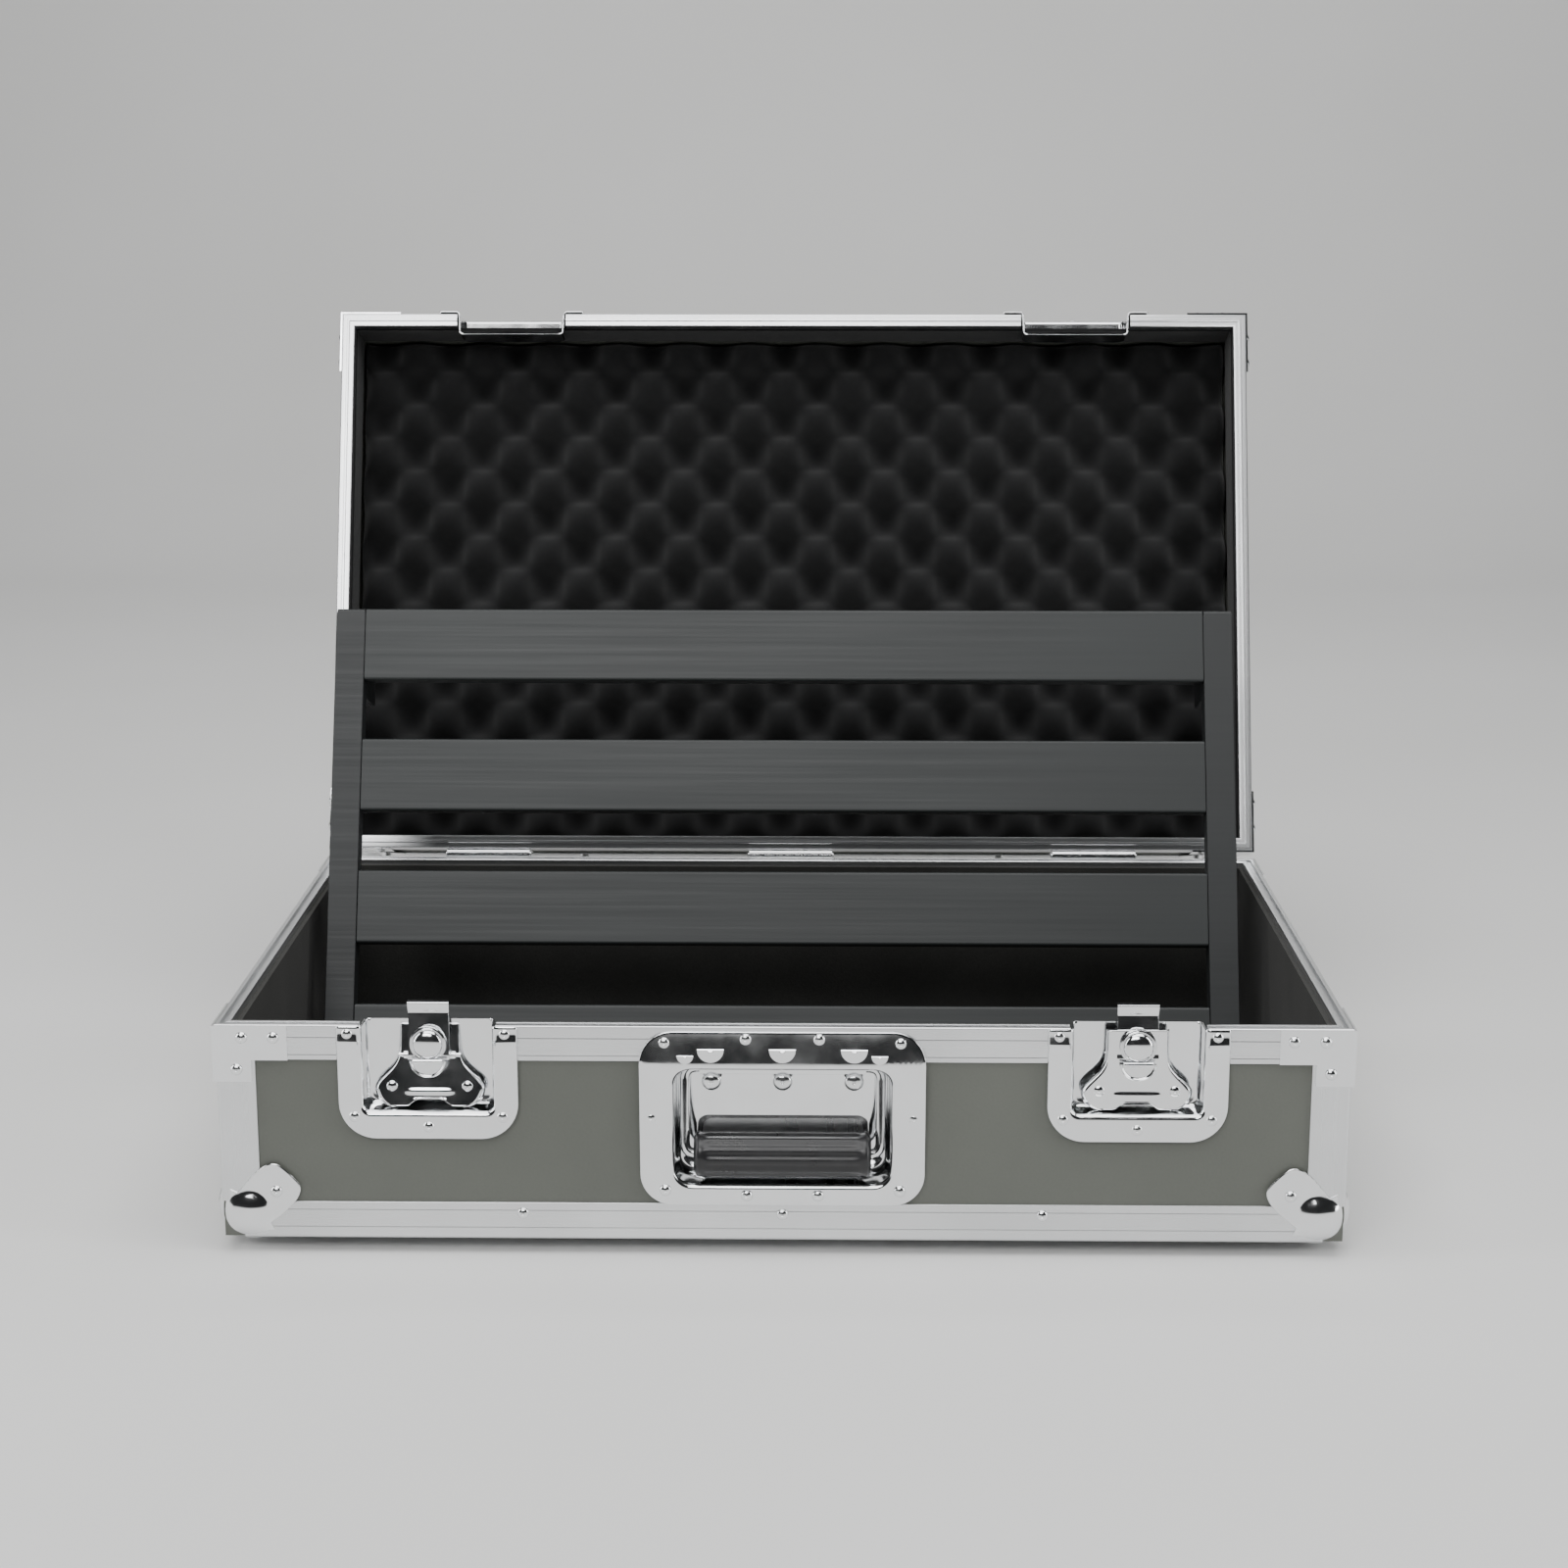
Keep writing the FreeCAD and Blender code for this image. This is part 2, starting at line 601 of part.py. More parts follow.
def heads(label, spots):
    """Low round rivet heads standing on a face; spots are (x, y, z, outward)."""
    items = []
    for i, (x, y, z, way) in enumerate(spots):
        items.append(cylinder("%s_%d" % (label, i), x, y, z, "@rivet_radius", "@rivet_tall", way))
    return group(label, items)


# ---------------------------------------------------------------- board

def board_pieces():
    """Board drawn flat: y along the deck from its front edge, z up from its front rollers."""
    half = "@board_width / 2"
    items = []
    leg0, leg1 = "@board_deep - 56", "@board_deep - 18"
    sole = "@board_front - @board_rear + 3"
    for side, x0 in (("left", "-" + half), ("right", half + " - @rail_wide")):
        body = new_body("board_%s_rail" % side)
        sk = sketch(body, "YZ_Plane", x0)
        polygon(sk, [("4", "3"), ("18", "3"), ("32", "@board_front - 14"), (leg0, "@board_front - 14"),
                     (leg0, sole), (leg1, sole), (leg1, "@board_front - 14"),
                     ("@board_deep", "@board_front - 14"), ("@board_deep", "@board_front"),
                     ("0", "@board_front"), ("0", "14")])
        circle(sk, "10", "@roller_radius", "@axle_radius")
        pad(body, sk, "@rail_wide")
        items.append(body)
    for i in range(4):
        low = "@board_deep - @slat_wide - %d * @slat_pitch" % (3 - i)
        items.append(slab("board_slat_%d" % (i + 1), "-%s + @rail_wide" % half, half + " - @rail_wide", low,
                          low + " + @slat_wide", "@board_front - @slat_thick", "@board_front"))
        fillet(items[-1], "1.2", both(along(0), within(2, "@board_front", "@board_front")))
    pads = []
    for i, x0 in enumerate(("-" + half, half + " - @rail_wide")):
        pads.append(box("rear_pad_%d" % i, x0, x0 + " + @rail_wide", leg0, leg1, sole + " - 3", sole))
    items.append(group("board_rear_pads", pads))
    rod = cylinder("axle_rod", "-" + half, "10", "@roller_radius", "@axle_radius", "@board_width", X_AXIS)
    items.append(group("board_axle", [rod]))
    rollers = []
    for i, x in enumerate(("-@board_width / 2 + 60", "@board_width / 2 - 84")):
        solid = cylinder("roller_solid_%d" % i, x, "10", "@roller_radius", "@roller_radius", "24", X_AXIS)
        bore = cylinder("roller_bore_%d" % i, x + " - 1", "10", "@roller_radius", "@axle_radius + @pin_play",
                        "26", X_AXIS)
        rollers.append(cut("roller_%d" % i, solid, bore))
    items.append(group("board_front_rollers", rollers))
    tilt = FreeCAD.Rotation(X_AXIS, 90 - num("@board_lean"))
    axle = V(0, 10, num("@roller_radius"))
    place = FreeCAD.Placement(V(num("@board_side"), num("@board_axle_y"), num("@floor_z + @roller_radius + 0.1")) - tilt.multVec(axle), tilt)
    return items, place


# ---------------------------------------------------------------- build everything

base, lid = [], []
low_z, cap_z = "@base_z + @metal_thick", "@part_z - @rim_cap"
base += panels("base", low_z, cap_z, low_z, "@base_z + @wall")
notch_for_pans(base[0], "@pan_z - @skin", "@part_z + 1")
sk = sketch(base[0], "XZ_Plane", "1")
rect(sk, "-@grip_pan_wide / 2 - @skin", "@grip_pan_wide / 2 + @skin", "@grip_top - @grip_pan_tall - @skin",
     "@grip_top + @skin")
pocket(base[0], sk, "@wall + 2")
rim = hollow_ring("base_rim", "@part_z - @rim_flange", "@rim_flange", True, True)
notch_for_pans(rim, "@part_z - @rim_flange - 1", "@part_z + 1")
base.append(rim)
base.append(edge_ring("base_bottom_edging", "@base_z", "@base_z + @edge_width", True))
base.append(uprights("base_upright_edging", "@base_z + @edge_width", "@part_z - @rim_flange"))
base.append(ball_corners("base_ball_corners", "@base_z", True))
base.append(rim_braces("base_rim_braces", "@part_z", False, "@brace_drop"))
inner = "@half_w - @wall"
base.append(slab("base_floor_lining", "-(%s)" % inner, inner, "@wall", "@case_depth - @wall",
                 "@base_z + @wall", "@floor_z"))
lining = walls("base_wall_lining", "@rim_wide", "@lining_thick", "@floor_z", "@part_z - 4")
sk = sketch(lining, "XZ_Plane", "1")
for mid, half, z0 in (("-@latch_spacing", "@pan_wide / 2", "@pan_z"), ("@latch_spacing", "@pan_wide / 2", "@pan_z"),
                      ("0", "@grip_pan_wide / 2", "@grip_top - @grip_pan_tall")):
    z1 = "@grip_top + @skin" if mid == "0" else "@part_z"
    rect(sk, "%s - %s - @skin" % (mid, half), "%s + %s + @skin" % (mid, half), z0 + " - @skin", z1)
pocket(lining, sk, "@rim_wide + @lining_thick + 5")
base.append(lining)

feet, screws = [], []
for i in range(4):
    x = "%s(@half_w - @foot_inset_x)" % ("-" if i % 2 == 0 else "")
    y = "@foot_inset_y" if i < 2 else "@case_depth - @foot_inset_y"
    solid = cylinder("foot_solid_%d" % i, x, y, "0", "@foot_radius", "@foot_height", V(0, 0, 1))
    well = cylinder("foot_well_%d" % i, x, y, "-1", "5", "5", V(0, 0, 1))
    feet.append(cut("foot_%d" % i, solid, well))
    screws.append(cylinder("foot_screw_%d" % i, x, y, "2", "4.5", "2", V(0, 0, 1)))
base.append(group("base_feet", feet))
base.append(group("foot_screws", screws))

lid_top = "@top_z - @metal_thick"
lid += panels("lid", "@lid_z + @rim_cap", lid_top, "@top_z - @wall", lid_top)
notch_for_pans(lid[0], "@lid_z - 1", "@lid_z + @keeper_pan_tall + @skin")
rim = hollow_ring("lid_rim", "@lid_z", "@rim_flange", False, False)
notch_for_pans(rim, "@lid_z - 3", "@lid_z + @rim_flange + 1")
lid.append(rim)
lid.append(edge_ring("lid_top_edging", "@top_z", "@top_z - @edge_width", False))
lid.append(uprights("lid_upright_edging", "@lid_z + @rim_flange", "@top_z - @edge_width"))
lid.append(ball_corners("lid_ball_corners", "@top_z", False))
lid.append(rim_braces("lid_rim_braces", "@lid_z", True, "@lid_brace_drop"))
lid.append(slab("lid_foam", "-(%s)" % inner, inner, "@wall", "@case_depth - @wall",
                "@top_z - @wall - @foam_thick", "@top_z - @wall"))

for side, s in (("left", "-"), ("right", "")):
    latch(side, s)
    latch_hook(side, s)
    lid.append(keeper_dish(side, s))
handle()
pins = []
for name, x_mid in (("left", "-@hinge_spacing"), ("center", "0"), ("right", "@hinge_spacing")):
    pins.append(hinge(name, x_mid))
    lid.append(doc.getObjectsByLabel("hinge_%s_lid_leaf" % name)[0])
base.append(group("hinge_pins", pins))

OUT, LEFT, RIGHT = V(0, -1, 0), V(-1, 0, 0), V(1, 0, 0)
spots = []
for x in ("-@latch_spacing", "@latch_spacing"):
    for dx, dz in ((-44, 5), (44, 5), (-43, 58), (0, 61.5), (43, 58)):
        spots.append(("%s + %d" % (x, dx), "-@skin", "@part_z - %s" % dz, OUT))
for dx, dz in ((-69, 9), (-23, 8), (23, 8), (69, 9), (-75.5, 55), (75.5, 55), (-69, 99), (-23, 101), (23, 101), (69, 99)):
    spots.append(("%s" % dx, "-@skin", "@part_z - %s" % dz, OUT))
for x in ("-150", "0", "150"):
    spots.append((x, "0", "@base_z + 16", OUT))
for s in ("-", ""):
    for reach, drop in ((16, 7), (34, 7), (16, 27)):
        spots.append(("%s(@half_w - %d)" % (s, reach), "-@skin", "@part_z - %d" % drop, OUT))
        spots.append(("%s(@half_w + @skin)" % s, "%d" % reach, "@part_z - %d" % drop, LEFT if s else RIGHT))
    spots.append(("%s(@half_w - 27)" % s, "-@skin", "@base_z + 27", OUT))
    spots.append(("%s(@half_w + @skin)" % s, "27", "@base_z + 27", LEFT if s else RIGHT))
base.append(heads("base_rivets", spots))
spots = []
for x in ("-@latch_spacing", "@latch_spacing"):
    for dx in (-44, 44):
        spots.append(("%s + %d" % (x, dx), "-@skin", "@lid_z + 24", OUT))
for x in ("-@half_w + 16", "@half_w - 16"):
    spots.append((x, "-@skin", "@lid_z + 7", OUT))
lid.append(heads("lid_rivets", spots))
board, board_place = board_pieces()
doc.recompute()

# Lid stands open about the hinge line; everything moves back so the rest pose is centred on y = 0.
turn = FreeCAD.Rotation(X_AXIS, -num("@lid_open"))
axis = V(0, num("@hinge_y"), num("@hinge_z"))
lid_place = FreeCAD.Placement(axis - turn.multVec(axis), turn)
for item in lid:
    item.Placement = lid_place.multiply(item.Placement)
for item in board:
    item.Placement = board_place.multiply(item.Placement)
doc.recompute()

used = set()
for item in doc.Objects:
    if item.TypeId == "PartDesign::Body" or item in base + lid + board or item.Label == "handle_bail":
        used.add(item.Label)
pieces = [doc.getObjectsByLabel(label)[0] for label in sorted(used)]
bounds = [item.Shape.optimalBoundingBox(False, False) for item in pieces]
low, high = min(box.YMin for box in bounds), max(box.YMax for box in bounds)
shift = FreeCAD.Placement(V(0, -round((low + high) / 2, 2), 0), FreeCAD.Rotation())
for item in pieces:
    item.Placement = shift.multiply(item.Placement)
doc.recompute()

for item in doc.Objects:
    if "Invalid" in item.State or "Error" in item.State:
        REPORT.append("%s is %s" % (item.Label, item.State))
for item in pieces:
    if item.Shape.isNull() or not item.Shape.isValid():
        REPORT.append(item.Label + " has no valid shape")
if REPORT:
    raise RuntimeError("; ".join(REPORT))
for item in pieces:
    item.Shape.exportStep("parts/%s.step" % item.Label)
    print("%-28s %9.0f mm3  solids %d" % (item.Label, item.Shape.Volume, len(item.Shape.Solids)))
print("case shift in y", shift.Base.y, "pieces", len(pieces))
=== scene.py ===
"""Looks of a hinged hard case: metal edging, pressed dishes, turn latches, handle, foam lid and slatted board.

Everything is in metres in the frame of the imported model. New surfaces are worked out as whole numpy arrays.
"""
from __future__ import annotations
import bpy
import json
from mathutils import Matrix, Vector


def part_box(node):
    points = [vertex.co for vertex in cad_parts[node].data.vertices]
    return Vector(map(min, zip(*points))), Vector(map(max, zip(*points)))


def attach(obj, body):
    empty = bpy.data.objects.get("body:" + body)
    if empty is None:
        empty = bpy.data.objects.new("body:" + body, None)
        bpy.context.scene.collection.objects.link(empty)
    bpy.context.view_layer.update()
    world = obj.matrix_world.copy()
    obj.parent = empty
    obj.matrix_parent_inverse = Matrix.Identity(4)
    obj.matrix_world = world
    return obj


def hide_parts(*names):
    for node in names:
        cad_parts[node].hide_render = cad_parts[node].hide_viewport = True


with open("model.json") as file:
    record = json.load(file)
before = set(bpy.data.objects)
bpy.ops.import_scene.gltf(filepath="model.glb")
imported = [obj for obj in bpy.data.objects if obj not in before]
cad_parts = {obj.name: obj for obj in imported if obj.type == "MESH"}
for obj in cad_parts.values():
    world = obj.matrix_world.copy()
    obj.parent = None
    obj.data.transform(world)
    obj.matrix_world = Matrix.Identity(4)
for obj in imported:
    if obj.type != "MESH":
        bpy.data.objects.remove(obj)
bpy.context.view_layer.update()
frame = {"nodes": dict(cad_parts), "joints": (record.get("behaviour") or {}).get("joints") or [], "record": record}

import json
import logging
import math
from dataclasses import dataclass, field
from enum import Enum

import bmesh
import bpy
import numpy as np
from mathutils import Matrix, Vector

logging.basicConfig(level=logging.INFO, format="%(name)s: %(message)s")
LOG = logging.getLogger("case")
TAU = 2 * math.pi
Array = np.ndarray


class Side(Enum):
    """Left or right of the case, seen from the latches."""

    LEFT = -1
    RIGHT = 1


# ------------------------------------------------------------------ places


@dataclass(frozen=True)
class CasePlan:
    """Sizes of the case and the way from shut-case coordinates to the scene.

    Shut-case coordinates have the front face on y = 0, the middle on x = 0 and the feet on z = 0.
    """

    width: float = 0.650
    depth: float = 0.386
    foot: float = 0.009
    joint: float = 0.139
    gap: float = 0.0005
    lid: float = 0.075
    skin: float = 0.0012
    sheet: float = 0.00125
    wall: float = 0.00775
    rim: float = 0.009
    rim_flange: float = 0.021
    edge: float = 0.023
    latch_x: float = 0.203
    pan_half: float = 0.038
    open_angle: float = 109.0

    def base(self, pts: Array) -> Array:
        """Shut-case points of the base half, in the scene."""
        return pts + np.array([0.0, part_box("base_rim")[0][1], 0.0])

    def swing(self, pts: Array) -> Array:
        """Shut-case points of the lid half, turned open about the hinge line."""
        pivot = np.array(next(j["pos_m"] for j in frame["joints"] if j["name"] == "lid_swing"))
        angle = math.radians(-self.open_angle)
        c, s = math.cos(angle), math.sin(angle)
        spin = np.array([[1, 0, 0], [0, c, -s], [0, s, c]])
        return (self.base(pts) - pivot) @ spin.T + pivot


PLAN = CasePlan()


# ------------------------------------------------------------------ surfaces


class Shell:
    """Gathers grids and caps worked out as arrays, and turns them into one mesh object."""

    def __init__(self) -> None:
        """Start with nothing."""
        self.points: list[Array] = []
        self.faces: list[list[int]] = []
        self.uvs: list[Array] = []
        self.marks: list[int] = []
        self.count = 0

    def grid(self, pts: Array, wrap_u: bool = False, wrap_v: bool = False, flip: bool = False,
             mark: int = 0, uv: tuple[Array, Array] | None = None) -> None:
        """Add a grid of quads.

        Args:
            pts: points of shape (n, m, 3).
            wrap_u: join the last row to the first.
            wrap_v: join the last column to the first.
            flip: turn the faces over.
            mark: material slot of the faces.
            uv: coordinates along rows and columns, of lengths n (+1 if wrapped) and m (+1 if wrapped).
        """
        n, m = pts.shape[:2]
        rows, cols = np.arange(n if wrap_u else n - 1), np.arange(m if wrap_v else m - 1)
        i, j = np.meshgrid(rows, cols, indexing="ij")
        i, j = i.ravel(), j.ravel()
        steps = ((0, 0), (1, 0), (1, 1), (0, 1))
        if flip:
            steps = steps[::-1]
        quads = np.stack([((i + a) % n) * m + (j + b) % m for a, b in steps], 1) + self.count
        along = uv[0] if uv else np.linspace(0, 1, n + 1)
        across = uv[1] if uv else np.linspace(0, 1, m + 1)
        loops = np.stack([np.stack([along[i + a], across[j + b]], 1) for a, b in steps], 1)
        self.points.append(pts.reshape(-1, 3))
        self.faces += quads.tolist()
        self.uvs.append(loops.reshape(-1, 2))
        self.marks += [mark] * len(quads)
        self.count += n * m

    def cap(self, ring: Array, flip: bool = False, mark: int = 0) -> None:
        """Close a ring of points (n, 3) with one face.

        Args:
            ring: points in order round the opening.
            flip: turn the face over.
            mark: material slot of the face.
        """
        order = np.arange(len(ring))[::-1] if flip else np.arange(len(ring))
        self.points.append(ring)
        self.faces.append((order + self.count).tolist())
        self.uvs.append(ring[order][:, :2] * 20.0)
        self.marks.append(mark)
        self.count += len(ring)

    def fan(self, ring: Array, tip: Array, flip: bool = False, mark: int = 0) -> None:
        """Close a ring of points with triangles to a tip.

        Args:
            ring: points in order.
            tip: one point.
            flip: turn the faces over.
            mark: material slot of the faces.
        """
        n = len(ring)
        i = np.arange(n)
        tris = np.stack([i, (i + 1) % n, np.full(n, n)], 1) + self.count
        tris = tris[:, ::-1] if flip else tris
        self.points.append(np.vstack([ring, tip]))
        self.faces += tris.tolist()
        self.uvs.append(np.zeros((3 * n, 2)))
        self.marks += [mark] * n
        self.count += n + 1

    def build(self, name: str, materials: list[bpy.types.Material], body: str, slot: str,
              crease: float = 32.0, weld: float = 1e-6, recalc: bool = True, thick: float = 0.0,
              hides: tuple[str, ...] = ()) -> bpy.types.Object:
        """Make the mesh object and hang it on its body.

        Args:
            name: piece name.
            materials: materials in slot order.
            body: CAD body it moves with.
            slot: material slot of the record; not used.
            crease: angle in degrees past which an edge is sharp.
            weld: distance under which points merge.
            recalc: turn all faces outwards.
            thick: wall given to an open sheet, inwards.
            hides: CAD nodes that it stands for.
        Returns:
            The object.
        """
        mesh = bpy.data.meshes.new(name)
        mesh.from_pydata(np.vstack(self.points), [], self.faces)
        layer = mesh.uv_layers.new(name="UVMap")
        layer.data.foreach_set("uv", np.concatenate(self.uvs).astype(np.float32).ravel())
        mesh.polygons.foreach_set("material_index", np.array(self.marks, np.int32))
        work = bmesh.new()
        work.from_mesh(mesh)
        bmesh.ops.remove_doubles(work, verts=work.verts, dist=weld)
        bmesh.ops.dissolve_degenerate(work, edges=work.edges, dist=1e-8)
        if recalc:
            bmesh.ops.recalc_face_normals(work, faces=work.faces)
        work.to_mesh(mesh)
        work.free()
        for material in materials:
            mesh.materials.append(material)
        mesh.shade_smooth()
        mesh.set_sharp_from_angle(angle=math.radians(crease))
        obj = bpy.data.objects.new(name, mesh)
        bpy.context.scene.collection.objects.link(obj)
        if thick:
            wall = obj.modifiers.new("wall", "SOLIDIFY")
            wall.thickness = thick
            wall.offset = -1.0
            wall.use_even_offset = True
        flats = obj.modifiers.new("flats", "WEIGHTED_NORMAL")
        flats.keep_sharp = True
        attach(obj, body)
        if hides:
            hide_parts(*hides)
        LOG.info("%s on %s: %d faces", name, body, len(mesh.polygons))
        return obj


def arc(centre: tuple[float, float], radius: float, start: float, end: float, steps: int = 7) -> Array:
    """Points on an arc: centre plus radius times (cos, sin) of the angle, angles in degrees."""
    a = np.radians(np.linspace(start, end, steps))
    return np.stack([centre[0] + radius * np.cos(a), centre[1] + radius * np.sin(a)], 1)


def rounded(corners: list[tuple[float, float, float]], steps: int = 5) -> Array:
    """Closed outline with rounded corners.

    Each corner is replaced by a curve of order two from a point a radius short of it on one side to a point
    a radius past it on the other: (1-t)^2 A + 2t(1-t) C + t^2 B.

    Args:
        corners: (x, y, radius) in order.
        steps: points on each rounded corner.
    Returns:
        Outline of shape (n, 2).
    """
    data = np.array(corners)
    here, before, after = data[:, :2], np.roll(data[:, :2], 1, 0), np.roll(data[:, :2], -1, 0)
    back, ahead = before - here, after - here
    lb, la = np.linalg.norm(back, axis=1, keepdims=True), np.linalg.norm(ahead, axis=1, keepdims=True)
    r = np.minimum(data[:, 2:3], 0.49 * np.minimum(lb, la))
    a, b = here + back / lb * r, here + ahead / la * r
    t = np.linspace(0, 1, steps)[None, :, None]
    curve = (1 - t) ** 2 * a[:, None] + 2 * t * (1 - t) * here[:, None] + t ** 2 * b[:, None]
    pts = curve.reshape(-1, 2)
    keep = np.linalg.norm(pts - np.roll(pts, 1, 0), axis=1) > 1e-7
    return pts[keep]


def running(pts: Array, wrap: bool = False) -> Array:
    """Distance run along points (n, d), with the closing step if wrapped."""
    ends = np.vstack([pts, pts[:1]]) if wrap else pts
    return np.concatenate([[0.0], np.cumsum(np.linalg.norm(np.diff(ends, axis=0), axis=1))])


def sweep(profile: Array, base: Array, du: Array, dw: Array) -> Array:
    """Profile points (u, w) carried to each station: base + u * du + w * dw, shape (stations, profile, 3)."""
    return base[:, None] + profile[None, :, :1] * du[:, None] + profile[None, :, 1:] * dw[:, None]


def turned(profile: Array, centre: Array, axis: Array, across: Array, sides: int = 24) -> Array:
    """Surface of revolution: profile (radius, height) turned about an axis through the centre."""
    other = np.cross(axis, across)
    a = np.linspace(0, TAU, sides, endpoint=False)[:, None, None]
    ring = np.cos(a) * across + np.sin(a) * other
    return centre + profile[None, :, :1] * ring + profile[None, :, 1:] * axis


# ------------------------------------------------------------------ finishes


class Tree:
    """Small helper that lays out the nodes of one material."""

    def __init__(self, name: str) -> None:
        """Make an empty material with a Principled shader."""
        self.material = bpy.data.materials.new(name)
        self.material.use_nodes = True
        self.nodes = self.material.node_tree.nodes
        self.links = self.material.node_tree.links
        self.nodes.clear()
        out = self.nodes.new("ShaderNodeOutputMaterial")
        self.shader = self.nodes.new("ShaderNodeBsdfPrincipled")
        self.links.new(self.shader.outputs[0], out.inputs[0])

    def coords(self, scale: tuple[float, float, float] = (1, 1, 1), uv: bool = False) -> bpy.types.NodeSocket:
        """Object or UV coordinates, stretched."""
        source = self.nodes.new("ShaderNodeTexCoord")
        place = self.nodes.new("ShaderNodeMapping")
        place.inputs["Scale"].default_value = scale
        self.links.new(source.outputs["UV" if uv else "Object"], place.inputs["Vector"])
        return place.outputs[0]

    def noise(self, where: bpy.types.NodeSocket, scale: float, detail: float = 3.0,
              rough: float = 0.55) -> bpy.types.NodeSocket:
        """Cloudy noise between 0 and 1."""
        node = self.nodes.new("ShaderNodeTexNoise")
        node.inputs["Scale"].default_value = scale
        node.inputs["Detail"].default_value = detail
        node.inputs["Roughness"].default_value = rough
        self.links.new(where, node.inputs["Vector"])
        return node.outputs[0]

    def cells(self, where: bpy.types.NodeSocket, scale: float) -> bpy.types.NodeSocket:
        """Distance to the nearest of scattered points."""
        node = self.nodes.new("ShaderNodeTexVoronoi")
        node.inputs["Scale"].default_value = scale
        self.links.new(where, node.inputs["Vector"])
        return node.outputs["Distance"]

    def span(self, value: bpy.types.NodeSocket, low: float, high: float, out_low: float = 0.0,
             out_high: float = 1.0) -> bpy.types.NodeSocket:
        """Stretch values between low and high to a new span."""
        node = self.nodes.new("ShaderNodeMapRange")
        for key, number in (("From Min", low), ("From Max", high), ("To Min", out_low), ("To Max", out_high)):
            node.inputs[key].default_value = number
        self.links.new(value, node.inputs["Value"])
        return node.outputs[0]

    def maths(self, kind: str, a: bpy.types.NodeSocket,
              b: bpy.types.NodeSocket | float) -> bpy.types.NodeSocket:
        """Sum, product or other of two values."""
        node = self.nodes.new("ShaderNodeMath")
        node.operation = kind
        self.links.new(a, node.inputs[0])
        if isinstance(b, (int, float)):
            node.inputs[1].default_value = b
        else:
            self.links.new(b, node.inputs[1])
        return node.outputs[0]

    def blend(self, factor: bpy.types.NodeSocket, a: tuple[float, ...],
              b: tuple[float, ...]) -> bpy.types.NodeSocket:
        """Colour between two colours."""
        node = self.nodes.new("ShaderNodeMix")
        node.data_type = "RGBA"
        node.inputs[6].default_value = (*a, 1)
        node.inputs[7].default_value = (*b, 1)
        self.links.new(factor, node.inputs[0])
        return node.outputs[2]

    def bump(self, height: bpy.types.NodeSocket, strength: float, distance: float,
             under: bpy.types.NodeSocket | None = None) -> bpy.types.NodeSocket:
        """Surface relief from a height."""
        node = self.nodes.new("ShaderNodeBump")
        node.inputs["Strength"].default_value = strength
        node.inputs["Distance"].default_value = distance
        self.links.new(height, node.inputs["Height"])
        if under is not None:
            self.links.new(under, node.inputs["Normal"])
        return node.outputs[0]

    def wire(self, **sockets: object) -> "Tree":
        """Set or link shader sockets; names use _ for spaces."""
        for key, value in sockets.items():
            socket = self.shader.inputs[key.replace("_", " ")]
            if isinstance(value, bpy.types.NodeSocket):
                self.links.new(value, socket)
            else:
                socket.default_value = (*value, 1) if isinstance(value, tuple) else value
        return self


@dataclass(frozen=True)
class DrawnAluminium:
    """Extruded aluminium with fine draw lines along its run."""

    tone: tuple[float, float, float] = (0.80, 0.81, 0.82)
    roughness: float = 0.30

    def make(self, name: str, uv: bool = True) -> bpy.types.Material:
        """Material with lines along U, or along X where there is no UV."""
        tree = Tree(name)
        lines = tree.coords((2.0, 1400.0, 1.0) if uv else (3.0, 900.0, 900.0), uv)
        drawn = tree.noise(lines, 1.0, 4.0, 0.7)
        cloud = tree.noise(tree.coords((9, 9, 9)), 1.0, 3.0)
        nick = tree.span(tree.noise(tree.coords((60, 60, 60)), 3.0, 6.0, 0.75), 0.66, 0.72)
        dark = tuple(c * 0.86 for c in self.tone)
        tree.wire(Base_Color=tree.blend(tree.span(cloud, 0.3, 0.7), self.tone, dark), Metallic=1.0)
        rough = tree.maths("ADD", tree.span(drawn, 0.25, 0.75, self.roughness - 0.07, self.roughness + 0.07),
                           tree.span(nick, 0, 1, 0, 0.12))
        fine = tree.bump(drawn, 0.10, 0.00012)
        tree.wire(Roughness=rough, Normal=tree.bump(nick, 0.12, 0.00015, fine))
        return tree.material


@dataclass(frozen=True)
class Chrome:
    """Bright plated steel with a little ripple from pressing and faint wiping marks."""

    tone: tuple[float, float, float] = (0.86, 0.87, 0.88)
    roughness: float = 0.07
    ripple: float = 0.10

    def make(self, name: str) -> bpy.types.Material:
        """Material on object coordinates."""
        tree = Tree(name)
        smudge = tree.noise(tree.coords((40, 40, 40)), 1.0, 5.0, 0.6)
        wave = tree.noise(tree.coords((55, 55, 55)), 1.0, 1.0, 0.4)
        hair = tree.noise(tree.coords((900, 900, 90)), 1.0, 3.0, 0.7)
        dark = tuple(c * 0.9 for c in self.tone)
        tree.wire(Base_Color=tree.blend(smudge, self.tone, dark), Metallic=1.0,
                  Roughness=tree.span(smudge, 0.35, 0.75, self.roughness, self.roughness + 0.10),
                  Normal=tree.bump(hair, 0.05, 0.00005, tree.bump(wave, self.ripple, 0.0012)))
        return tree.material


